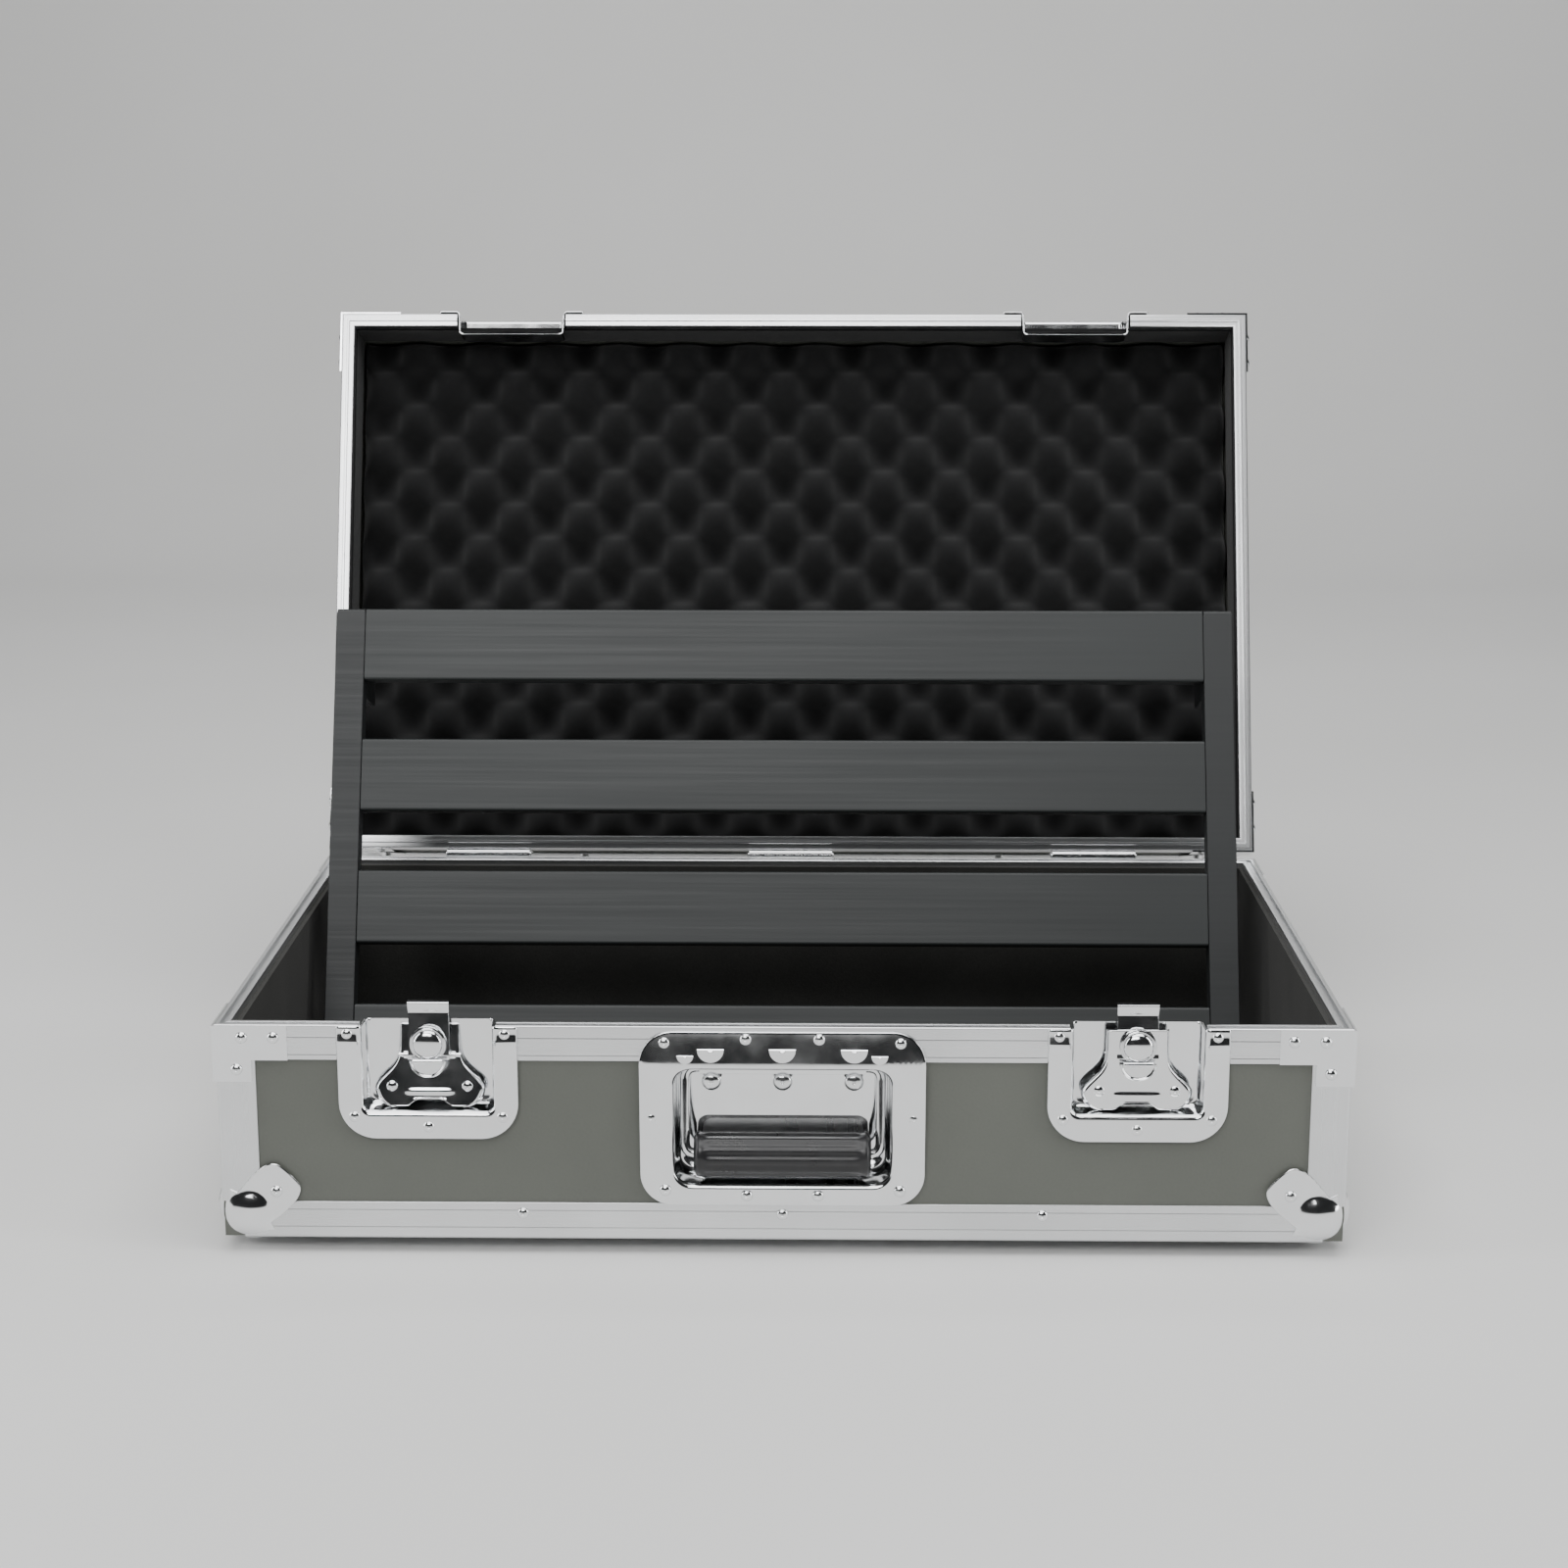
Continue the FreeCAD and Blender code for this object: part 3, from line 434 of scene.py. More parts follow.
@dataclass(frozen=True)
class Laminate:
    """Hard textured sheet glued on plywood."""

    tone: tuple[float, float, float] = (0.112, 0.118, 0.103)

    def make(self, name: str) -> bpy.types.Material:
        """Material on object coordinates."""
        tree = Tree(name)
        grain = tree.noise(tree.coords((620, 620, 620)), 1.0, 4.0, 0.6)
        cloud = tree.noise(tree.coords((7, 7, 7)), 1.0, 4.0)
        pebbles = tree.cells(tree.coords((420, 420, 420)), 1.0)
        light, dark = tuple(c * 1.10 for c in self.tone), tuple(c * 0.88 for c in self.tone)
        mixed = tree.maths("ADD", tree.maths("MULTIPLY", cloud, 0.6), tree.maths("MULTIPLY", grain, 0.4))
        tree.wire(Base_Color=tree.blend(tree.span(mixed, 0.3, 0.7), dark, light),
                  Roughness=tree.span(grain, 0.3, 0.7, 0.42, 0.60), Specular_IOR_Level=0.45,
                  Normal=tree.bump(grain, 0.22, 0.0003, tree.bump(pebbles, 0.16, 0.0004)))
        return tree.material


@dataclass(frozen=True)
class Fuzzy:
    """Foam or felt: dark, dry, with cells or fibres."""

    tone: tuple[float, float, float] = (0.0030, 0.0031, 0.0033)
    lift: float = 2.0
    grain: float = 1300.0
    sheen: float = 0.10

    def make(self, name: str) -> bpy.types.Material:
        """Material on object coordinates."""
        tree = Tree(name)
        cells = tree.noise(tree.coords((self.grain,) * 3), 1.0, 3.0, 0.7)
        cloud = tree.noise(tree.coords((18, 18, 18)), 1.0, 3.0)
        light = tuple(c * self.lift for c in self.tone)
        patches = tree.span(tree.maths("MULTIPLY", cells, cloud), 0.12, 0.45)
        tree.wire(Base_Color=tree.blend(patches, self.tone, light),
                  Roughness=tree.span(cells, 0.3, 0.7, 0.88, 1.0), Sheen_Weight=self.sheen, Sheen_Roughness=0.6,
                  Specular_IOR_Level=0.15, Normal=tree.bump(cells, 0.5, 0.0006))
        return tree.material


@dataclass(frozen=True)
class SatinPaint:
    """Satin paint over a drawn or planed surface, lines along X."""

    tone: tuple[float, float, float] = (0.0098, 0.0120, 0.0122)
    roughness: float = 0.48

    def make(self, name: str) -> bpy.types.Material:
        """Material on object coordinates."""
        tree = Tree(name)
        lines = tree.noise(tree.coords((4, 420, 420)), 1.0, 4.0, 0.65)
        peel = tree.noise(tree.coords((330, 330, 330)), 1.0, 2.0)
        cloud = tree.noise(tree.coords((6, 14, 14)), 1.0, 3.0)
        light = tuple(c * 1.35 for c in self.tone)
        tree.wire(Base_Color=tree.blend(tree.span(cloud, 0.3, 0.7), self.tone, light),
                  Roughness=tree.span(lines, 0.25, 0.75, self.roughness - 0.06, self.roughness + 0.10),
                  Specular_IOR_Level=0.5,
                  Normal=tree.bump(lines, 0.10, 0.0002, tree.bump(peel, 0.06, 0.0002)))
        return tree.material


@dataclass(frozen=True)
class Rubber:
    """Moulded black rubber."""

    tone: tuple[float, float, float] = (0.014, 0.014, 0.015)
    roughness: float = 0.55

    def make(self, name: str) -> bpy.types.Material:
        """Material on object coordinates."""
        tree = Tree(name)
        grain = tree.noise(tree.coords((900, 900, 900)), 1.0, 3.0, 0.6)
        dust = tree.noise(tree.coords((70, 70, 70)), 1.0, 4.0)
        light = tuple(c * 1.9 for c in self.tone)
        tree.wire(Base_Color=tree.blend(tree.span(dust, 0.5, 0.8), self.tone, light),
                  Roughness=tree.span(dust, 0.3, 0.8, self.roughness - 0.08, self.roughness + 0.12),
                  Normal=tree.bump(grain, 0.2, 0.0002))
        return tree.material


# ------------------------------------------------------------------ sub-assemblies


@dataclass
class Finishes:
    """The materials of the case, made once."""

    drawn: bpy.types.Material = field(default_factory=lambda: DrawnAluminium().make("drawn_aluminium"))
    chrome: bpy.types.Material = field(default_factory=lambda: Chrome().make("chrome_plate"))
    rivet: bpy.types.Material = field(
        default_factory=lambda: Chrome(roughness=0.14, ripple=0.02).make("rivet_steel"))
    laminate: bpy.types.Material = field(default_factory=lambda: Laminate().make("grey_laminate"))
    foam: bpy.types.Material = field(default_factory=lambda: Fuzzy().make("black_foam"))
    felt: bpy.types.Material = field(
        default_factory=lambda: Fuzzy((0.030, 0.030, 0.028), 1.6, 700.0, 0.05).make("dark_felt"))
    paint: bpy.types.Material = field(default_factory=lambda: SatinPaint().make("satin_black"))
    rail: bpy.types.Material = field(
        default_factory=lambda: SatinPaint((0.0080, 0.0095, 0.0100), 0.50).make("satin_black_rail"))
    rubber: bpy.types.Material = field(default_factory=lambda: Rubber().make("foot_rubber"))
    grip: bpy.types.Material = field(
        default_factory=lambda: Rubber((0.010, 0.010, 0.011), 0.32).make("grip_rubber"))

    def dress(self) -> None:
        """Give every CAD node the finish of its record slot."""
        slots = {s["node"]: s["material_slot"] for s in frame["record"]["subparts"]}
        by_slot = {"aluminium_edging": self.drawn_object(), "chrome_hardware": self.chrome,
                   "laminate_grey": self.laminate, "foam_black": self.foam, "lining_dark": self.felt,
                   "board_black": self.paint, "rubber_black": self.rubber, "grip_black": self.grip}
        for name, node in frame["nodes"].items():
            for place in node.material_slots:
                place.material = by_slot[slots[name]]
        LOG.info("finished %d CAD nodes", len(slots))

    def drawn_object(self) -> bpy.types.Material:
        """Drawn aluminium for CAD nodes, which have no UV."""
        return DrawnAluminium().make("drawn_aluminium_cad", uv=False)


@dataclass
class Extrusions:
    """Rims and angle edging as mitred lengths with soft edges and bead lines."""

    finishes: Finishes
    bead: float = 0.00014
    soft: float = 0.0011
    clear: float = 0.013

    def rim_profile(self, lid: bool) -> Array:
        """Closed outline (inward, away from the joint plane) of the rim section."""
        p, s, b = PLAN, self.soft, self.bead
        mid = p.rim / 2
        if lid:
            top = [(mid - 0.0009, 0, 0.0002), (mid - 0.0009, -0.0013, 0.0004), (mid + 0.0009, -0.0013, 0.0004),
                   (mid + 0.0009, 0, 0.0002)]
        else:
            top = [(mid - 0.0016, 0, 0.0003), (mid - 0.0013, 0.002, 0.0002), (mid + 0.0013, 0.002, 0.0002),
                   (mid + 0.0016, 0, 0.0003)]
        beads: list[tuple[float, float, float]] = []
        for w in (0.0175, 0.0072):
            beads += [(0, w + 0.0006, 0.0001), (b, w, 0.0002), (0, w - 0.0006, 0.0001)]
        return rounded([(0, 0, s)] + top + [
            (p.rim, 0, s), (p.rim, 0.009, 0.0005), (p.wall, 0.009, 0.0003), (p.wall, 0.0035, 0.0002),
            (p.sheet, 0.0035, 0.0002), (p.sheet, p.rim_flange, 0.0004), (0, p.rim_flange, 0.0005)] + beads, 4)

    def edge_profile(self) -> Array:
        """Closed outline (inward, up from the floor) of the angle edging."""
        p, b = PLAN, self.bead
        side: list[tuple[float, float, float]] = []
        for w in (0.008, 0.0185):
            side += [(0, w - 0.0006, 0.0001), (b, w, 0.0002), (0, w + 0.0006, 0.0001)]
        return rounded([(0, 0, 0.0035)] + side + [
            (0, p.edge, 0.0005), (p.sheet, p.edge, 0.0004), (p.sheet, p.sheet, 0.0002),
            (p.edge, p.sheet, 0.0004), (p.edge, 0, 0.0005)], 5)

    def lengths(self, shell: Shell, profile: Array, z: float, way: float, notched: bool, lid: bool) -> None:
        """Sweep a profile round the case.

        A notched one is mitred and open at the latch pans. Any other is cut short of the corners.
        """
        p = PLAN
        w, d = p.width / 2, p.depth
        near, far = p.latch_x - p.pan_half - p.skin, p.latch_x + p.pan_half + p.skin
        ring = [(-w, 0, 1, 1), (-w, d, 1, -1), (w, d, -1, -1), (w, 0, -1, 1)]
        c = self.clear
        straight = [[(-w, c, 1, 0), (-w, d - c, 1, 0)], [(-w + c, d, 0, -1), (w - c, d, 0, -1)],
                    [(w, d - c, -1, 0), (w, c, -1, 0)], [(w - c, 0, 0, 1), (-w + c, 0, 0, 1)]]
        runs = straight if not notched else [[(-far, 0, 0, 1)] + ring + [(far, 0, 0, 1)],
                                           [(near, 0, 0, 1), (-near, 0, 0, 1)]]
        for run in runs:
            spots = np.array(run, float)
            base = np.column_stack([spots[:, :2], np.full(len(run), z)])
            du = np.column_stack([spots[:, 2:], np.zeros(len(run))])
            dw = np.tile([0.0, 0.0, way], (len(run), 1))
            pts = sweep(profile, base, du, dw)
            pts = p.swing(pts) if lid else p.base(pts)
            closed = run is ring
            shell.grid(pts, wrap_u=closed, wrap_v=True, uv=(running(base, closed), running(profile, True)))
            if not closed:
                shell.cap(pts[0])
                shell.cap(pts[-1], flip=True)

    def uprights(self, shell: Shell, z0: float, z1: float, lid: bool) -> None:
        """Angle edging on the four upright corners, outline carried from z0 to z1."""
        p, b = PLAN, self.bead
        outline = rounded([(0, 0, 0.0035), (0.008, 0, 0.0001), (0.0086, b, 0.0001), (0.0092, 0, 0.0001),
                           (p.edge, 0, 0.0005), (p.edge, p.sheet, 0.0004),
                           (p.sheet, p.sheet, 0.0002), (p.sheet, p.edge, 0.0004), (0, p.edge, 0.0005),
                           (0, 0.0092, 0.0001), (b, 0.0086, 0.0001), (0, 0.008, 0.0001)], 5)
        for sx in (1, -1):
            for sy in (1, -1):
                x = -sx * p.width / 2 + sx * outline[:, 0]
                y = (0 if sy > 0 else p.depth) + sy * outline[:, 1]
                z = np.array([z0, z1])[:, None]
                pts = np.stack([np.broadcast_to(x, (2, len(x))), np.broadcast_to(y, (2, len(x))),
                                np.broadcast_to(z, (2, len(x)))], 2)
                pts = p.swing(pts) if lid else p.base(pts)
                shell.grid(pts, wrap_v=True, uv=(np.array([z0, z1]), running(outline, True)))
                shell.cap(pts[0])
                shell.cap(pts[-1], flip=True)

    def build(self) -> None:
        """Make the rims, the flat edging and the upright edging of both halves."""
        p, metal = PLAN, [self.finishes.drawn]
        top = p.joint + p.gap + p.lid
        jobs = (("base_rim_lengths", "base_rim", self.rim_profile(False), p.joint, -1.0, True, False),
                ("lid_rim_lengths", "lid_rim", self.rim_profile(True), p.joint + p.gap, 1.0, True, True),
                ("base_bottom_lengths", "base_bottom_edging", self.edge_profile(), p.foot, 1.0, False, False),
                ("lid_top_lengths", "lid_top_edging", self.edge_profile(), top, -1.0, False, True))
        for name, node, profile, z, way, notched, lid in jobs:
            shell = Shell()
            self.lengths(shell, profile, z, way, notched, lid)
            shell.build(name, metal, "lid" if lid else "base", "aluminium_edging", hides=(node,))
        for name, node, z0, z1, lid in (
                ("base_upright_lengths", "base_upright_edging", p.foot + p.edge, p.joint - p.rim_flange, False),
                ("lid_upright_lengths", "lid_upright_edging", p.joint + p.gap + p.rim_flange, top - p.edge, True)):
            shell = Shell()
            self.uprights(shell, z0, z1, lid)
            shell.build(name, metal, "lid" if lid else "base", "aluminium_edging", hides=(node,))


@dataclass
class CornerCaps:
    """Pressed ball corners: flat lobes on three faces that swell into a ball over the corner."""

    finishes: Finishes
    reach: float = 0.060
    ball: float = 0.0215
    inset: float = 0.0165
    corner_power: float = 13.0

    def radial(self, ray: Array) -> Array:
        """Distance from the inner centre along unit rays.

        The larger, softly joined, of a superellipsoid |x|^p + |y|^p + |z|^p = s^p and a ball near the corner.
        """
        s, power = self.reach + PLAN.skin, self.corner_power
        box = s / (np.abs(ray) ** power).sum(-1) ** (1 / power)
        centre = np.full(3, self.inset - self.reach)
        along = ray @ centre
        inside = along ** 2 - centre @ centre + self.ball ** 2
        ball = np.where(inside > 0, along + np.sqrt(np.maximum(inside, 0)), 0.0)
        soft = 0.0006
        return np.where(ball > 0, soft * np.logaddexp(box / soft, ball / soft), box)

    def lobe(self, turn: int, rings: int = 48, steps: int = 56) -> Array:
        """One face of the cap on polar coordinates about the corner.

        A point (rho cos a, rho sin a) of the flat face is seen from the inner centre and pushed out to the
        radial surface; the outline runs from 30 mm at the edges to the tip of the lobe over a smooth step in
        sin 2a.
        """
        a = np.linspace(0, math.pi / 2, steps)
        t = np.clip((np.sin(2 * a) - 0.60) / 0.37, 0, 1)
        limit = 0.030 + (0.018 if turn == 0 else 0.027) * t * t * (3 - 2 * t)
        rho = np.linspace(0, 1, rings)[:, None] ** 0.8 * limit
        flat = np.stack([rho * np.cos(a), rho * np.sin(a), np.full_like(rho, -PLAN.skin)], 2)
        ray = np.roll(flat, turn, axis=2) - self.reach
        ray /= np.linalg.norm(ray, axis=2, keepdims=True)
        return self.reach + ray * self.radial(ray)[..., None]

    def build(self) -> None:
        """Eight caps, four on each half."""
        p = PLAN
        for name, node, z, way, lid in (("base_corner_caps", "base_ball_corners", p.foot, 1, False),
                                        ("lid_corner_caps", "lid_ball_corners", p.joint + p.gap + p.lid, -1, True)):
            shell = Shell()
            for sx in (1, -1):
                for sy in (1, -1):
                    for turn in range(3):
                        pts = self.lobe(turn) * np.array([sx, sy, way])
                        pts = pts + np.array([-sx * p.width / 2, 0 if sy > 0 else p.depth, z])
                        shell.grid(p.swing(pts) if lid else p.base(pts), flip=sx * sy * way > 0)
            shell.build(name, [self.finishes.chrome], "lid" if lid else "base", "chrome_hardware",
                        crease=60, recalc=False, thick=0.0009, weld=2e-6, hides=(node,))


@dataclass
class Rivets:
    """Domed rivet heads with a rolled foot and a dimple, one mesh for each half."""

    finishes: Finishes
    radius: float = 0.0035
    height: float = 0.0021

    def head(self) -> Array:
        """Profile (radius, height) of one head."""
        r, h = self.radius, self.height
        a = np.radians(np.linspace(0, 78, 7))
        dome = np.stack([r * np.cos(a), h * np.sin(a) / math.sin(math.radians(78))], 1)
        dimple = np.array([[0.13 * r, h * 0.86], [1e-5, h * 0.80]])
        return np.vstack([[[r * 1.02, -0.0001]], dome, dimple])

    def place(self, shell: Shell, spot: tuple[float, float, float], way: tuple[float, float, float],
              lid: bool) -> None:
        """Put one head on a face."""
        axis = np.array(way, float)
        axis /= np.linalg.norm(axis)
        across = np.array([1.0, 0.0, 0.0]) if abs(axis[0]) < 0.5 else np.array([0.0, 0.0, 1.0])
        pts = turned(self.head(), np.array(spot), axis, across, 18)
        pts = PLAN.swing(pts) if lid else PLAN.base(pts)
        shell.grid(pts, wrap_u=True)

    def corner_spots(self, z_joint: float, z_edge: float, way: float) -> list:
        """Heads on the rim braces and corner caps of one half."""
        p, out = PLAN, []
        for s in (-1, 1):
            for reach, drop in ((0.016, 0.0075), (0.034, 0.0075), (0.0125, 0.0265)):
                z = z_joint - way * drop
                for y, ny in ((-p.skin, -1), (p.depth + p.skin, 1)):
                    out.append(((s * (p.width / 2 - reach), y, z), (0, ny, 0)))
                for y in (reach, p.depth - reach):
                    out.append(((s * (p.width / 2 + p.skin), y, z), (s, 0, 0)))
            z = z_edge + way * 0.0295
            for y, ny in ((-p.skin, -1), (p.depth + p.skin, 1)):
                out.append(((s * (p.width / 2 - 0.0325), y, z), (0, ny, 0)))
            for y in (0.0325, p.depth - 0.0325):
                out.append(((s * (p.width / 2 + p.skin), y, z), (s, 0, 0)))
        return out

    def build(self) -> None:
        """All heads of the base and of the lid."""
        p = PLAN
        spots = []
        for s in (-1, 1):
            for dx, dz in ((-0.0455, 0.005), (0.0445, 0.005), (-0.0425, 0.0545), (0, 0.0605), (0.0425, 0.0545)):
                spots.append(((s * p.latch_x + dx, -p.skin, p.joint - dz), (0, -1, 0)))
        for dx, dz in ((-0.0675, 0.0095), (-0.021, 0.0072), (0.021, 0.0072), (0.0675, 0.0095), (-0.0755, 0.0545),
                       (0.0755, 0.0545), (-0.0675, 0.0985), (-0.0205, 0.1015), (0.0205, 0.1015), (0.0675, 0.0985)):
            spots.append(((dx, -p.skin, p.joint - dz), (0, -1, 0)))
        for x in (-0.150, 0.0, 0.150):
            spots.append(((x, 0, p.foot + 0.0165), (0, -1, 0)))
            spots.append(((x, p.depth, p.foot + 0.0165), (0, 1, 0)))
        for y in (0.13, 0.256):
            for s in (-1, 1):
                spots.append(((s * p.width / 2, y, p.foot + 0.0165), (s, 0, 0)))
        spots += self.corner_spots(p.joint, p.foot, 1.0)
        shell = Shell()
        big = Rivets(self.finishes, 0.0056, 0.0030)
        for x in (-0.041, 0.0, 0.041):
            big.place(shell, (x, 0.0100, 0.1030), (0, -1, 0), False)
        for spot, way in spots:
            self.place(shell, spot, way, False)
        shell.build("base_rivet_heads", [self.finishes.rivet], "base", "chrome_hardware", hides=("base_rivets",))
        z, top = p.joint + p.gap, p.joint + p.gap + p.lid
        spots = self.corner_spots(z, top, -1.0)
        for s in (-1, 1):
            for dx in (-0.0445, 0.0445):
                spots.append(((s * p.latch_x + dx, -p.skin, z + 0.024), (0, -1, 0)))
            spots.append(((s * p.latch_x, -p.skin, z + 0.0285), (0, -1, 0)))
        for x in (-0.150, 0.0, 0.150):
            spots.append(((x, 0, top - 0.0165), (0, -1, 0)))
            spots.append(((x, p.depth, top - 0.0165), (0, 1, 0)))
            for y, ny in ((0.0165, 0), (p.depth - 0.0165, 0)):
                spots.append(((x, y, top), (0, ny, 1)))
        shell = Shell()
        for spot, way in spots:
            self.place(shell, spot, way, True)
        shell.build("lid_rivet_heads", [self.finishes.rivet], "lid", "chrome_hardware", hides=("lid_rivets",))


@dataclass
class PressedDish:
    """Sheet dish: flat flange, rolled mouth, drafted wall and a rounded floor.

    Rings of one outline family run from the flange's edge to the middle of the pan.
    """

    finishes: Finishes
    brow: float = 0.0032

    @staticmethod
    def closed_ring(half: float, low: float, high: float, radius: float, steps: int = 12) -> Array:
        """Rounded rectangle (x, z) with the same number of points for every size."""
        r = min(radius, half * 0.98, (high - low) * 0.49)
        parts = [arc((half - r, low + r), r, -90, 0, steps), arc((half - r, high - r), r, 0, 90, steps),
                 arc((-half + r, high - r), r, 90, 180, steps), arc((-half + r, low + r), r, 180, 270, steps)]
        return np.vstack(parts)

    @staticmethod
    def open_ring(half: float, low: float, high: float, radius: float, steps: int = 12) -> Array:
        """U outline (x, z), open at the top."""
        r = min(radius, half * 0.98, abs(high - low) * 0.95)
        side = np.sign(high - low)
        left = arc((-half + r, low + side * r), r, 180, 180 + side * 90, steps)
        right = arc((half - r, low + side * r), r, -side * 90, 0, steps)
        down = np.linspace(high, low + side * r, 28)[:-1]
        return np.vstack([np.column_stack([np.full(27, -half), down]), left, right,
                          np.column_stack([np.full(27, half), down[::-1]])])

    def surface(self, rings: list[tuple[Array, float]], centre: float) -> Array:
        """Stack rings at their depths: (x, y, z) = (centre + ring x, depth, ring z)."""
        return np.stack([np.column_stack([centre + ring[:, 0], np.full(len(ring), depth), ring[:, 1]])
                         for ring, depth in rings])

    def latch(self, side: Side) -> None:
        """Half dishes of one latch, in the base and in the lid."""
        p, x = PLAN, side.value * PLAN.latch_x
        label = side.name.lower()
        for name, node, z, far, pan, lid in (
                ("latch_%s_base_pressing", "latch_%s_dish", p.joint - 0.0003, -0.067, -0.052, False),
                ("latch_%s_lid_pressing", "latch_%s_keeper_dish", p.joint + p.gap + 0.0003, 0.032, 0.024, True)):
            s = -1 if far < 0 else 1
            flange, mouth, r = 0.051, p.pan_half, 0.021 if not lid else 0.012
            k = -p.skin
            rings = [(self.open_ring(flange, z + far, z, r), 0.0),
                     (self.open_ring(flange, z + far, z, r), k + 0.0004),
                     (self.open_ring(flange - 0.0004, z + far - s * 0.0004, z, r - 0.0004), k),
                     (self.open_ring(flange - 0.0012, z + far - s * 0.0012, z, r - 0.0012), k),
                     (self.open_ring(mouth + 0.0028, z + pan + s * 0.0028, z, 0.0078), k),
                     (self.open_ring(mouth + 0.0022, z + pan + s * 0.0022, z, 0.0072), k)]
            for a in np.radians(np.linspace(15, 90, 5)):
                grow = 0.0022 * (1 - math.sin(a))
                rings.append((self.open_ring(mouth + grow, z + pan + s * grow, z, 0.005 + grow),
                              k + 0.0022 * (1 - math.cos(a))))
            rings.append((self.open_ring(mouth - 0.0005, z + pan - s * 0.0005, z, 0.005), 0.0125))
            for a in np.radians(np.linspace(15, 90, 5)):
                grow = 0.0005 + 0.0025 * (1 - math.cos(a))
                rings.append((self.open_ring(mouth - grow, z + pan - s * grow, z, 0.005),
                              0.0125 + 0.0025 * math.sin(a)))
            rings.append((self.open_ring(mouth - 0.0040, z + pan - s * 0.0040, z, 0.004), 0.0150))
            shell = Shell()
            pts = self.surface(rings, x)
            if not lid:
                below = (z - pts[:6, :, 2]) * 1000
                pts[:6, :, 1] -= 0.0013 * np.clip((below - 3.5) / 7.5, 0, 1) * np.clip((12.5 - below) / 1.5, 0, 1)
            pts = p.swing(pts) if lid else p.base(pts)
            shell.grid(pts, flip=s > 0)
            shell.cap(pts[-1], flip=s < 0)
            if lid:
                lip = rounded([(0.015, 0, 0.0001), (0.0122, 0, 0.0008), (0.0122, 0.0025, 0.0008),
                               (0.015, 0.0025, 0.0001)])
                base = np.array([[x - 0.013, 0, p.joint + 0.0078], [x + 0.013, 0, p.joint + 0.0078]])
                bar = sweep(lip, base, np.tile([0.0, 1.0, 0.0], (2, 1)), np.tile([0.0, 0.0, 1.0], (2, 1)))
                bar = p.swing(bar)
                shell.grid(bar, wrap_v=True)
                shell.cap(bar[0], flip=True)
                shell.cap(bar[1])
            shell.build(name % label, [self.finishes.chrome], "lid" if lid else "base", "chrome_hardware",
                        recalc=False, thick=0.0009, crease=50, hides=(node % label,))

    def handle(self) -> None:
        """Closed dish behind the handle, with a pressed frame round the hinge plate."""
        p = PLAN
        z1, z0 = p.joint - 0.0027, p.joint - 0.0027 - 0.105
        top = p.joint - 0.0252
        low, half, deep = top - 0.070, 0.062, 0.019
        k = -p.skin
        rings = [(self.closed_ring(0.082, z0, z1, 0.019), 0.0),
                 (self.closed_ring(0.082, z0, z1, 0.019), k + 0.0004),
                 (self.closed_ring(0.0816, z0 + 0.0004, z1 - 0.0004, 0.0186), k),
                 *[(self.closed_ring(0.0806 + (half - 0.0776) * t, z0 + 0.0014 + (low - 0.0044 - z0) * t,
                                     z1 - 0.0014 + (top + 0.0044 - z1) * t, 0.0176 - 0.0046 * t), k)
                   for t in np.linspace(0, 1, 9)]]
        for a in np.radians(np.linspace(15, 90, 6)):
            grow = 0.003 * (1 - math.sin(a))
            rings.append((self.closed_ring(half + grow, low - grow, top + grow, 0.010 + grow),
                          k + 0.003 * (1 - math.cos(a))))
        rings.append((self.closed_ring(half - 0.0006, low + 0.0006, top - 0.0006, 0.010), deep - 0.003))
        for a in np.radians(np.linspace(15, 90, 5)):
            grow = 0.0006 + 0.003 * (1 - math.cos(a))
            rings.append((self.closed_ring(half - grow, low + grow, top - grow, 0.0095),
                          deep - 0.003 + 0.003 * math.sin(a)))
        roof = top - 0.0330
        for size, lift, sink in ((0.0500, 0.0, 0.0), (0.0492, 0.0008, 0.0), (0.0490, 0.0010, 0.0016),
                                 (0.0480, 0.0020, 0.0018), (0.0465, 0.0035, 0.0018)):
            rings.append((self.closed_ring(size, low + 0.0045 + lift * 0.3, roof - lift, 0.0060),
                          deep - 0.0018 + sink))
        shell = Shell()
        pts = self.surface(rings, 0.0)
        above = np.clip((pts[:, :, 2] - top + 0.012) / 0.012, 0, 1)
        lift = np.clip((z1 - pts[:, :, 2]) / (z1 - top - 0.003), 0, 1) * above
        share = np.clip((0.004 - pts[:, :, 1]) / 0.004, 0, 1)
        pts[:, :, 1] -= self.brow * lift ** 1.1 * share
        pts = p.base(pts)
        shell.grid(pts, wrap_v=True, flip=True)
        shell.cap(pts[-1], mark=1)
        shell.build("handle_pressing", [self.finishes.chrome, self.finishes.drawn], "base", "chrome_hardware",
                    recalc=False, thick=0.0009, crease=50, hides=("handle_dish",))

    def moons(self) -> None:
        """Half-moon louvres on the brow over the handle: upright half discs with a skirt running back."""
        shell = Shell()
        a = np.linspace(math.pi, TAU, 25)[None, :]
        for x, z, r in ((-0.041, 0.1262, 0.0076), (0.0, 0.1262, 0.0076), (0.041, 0.1262, 0.0076),
                        (-0.0555, 0.1225, 0.0047), (0.0555, 0.1225, 0.0047)):
            s = np.linspace(0, 1, 5)[:, None] * r
            top = z + 0.0002
            face = np.stack([x + s * np.cos(a), -0.0045 + 0.00015 * (s / r) ** 4 + 0 * a, top + s * np.sin(a)], 2)
            rim = np.concatenate([face[-1], face[0, :1]])
            skirt = np.stack([rim, rim + np.array([0, 0.0030, 0])])
            shell.grid(PLAN.base(face), flip=True)
            shell.grid(PLAN.base(skirt), wrap_v=True)
        shell.build("handle_brow_moons", [self.finishes.chrome], "base", "chrome_hardware", crease=50)

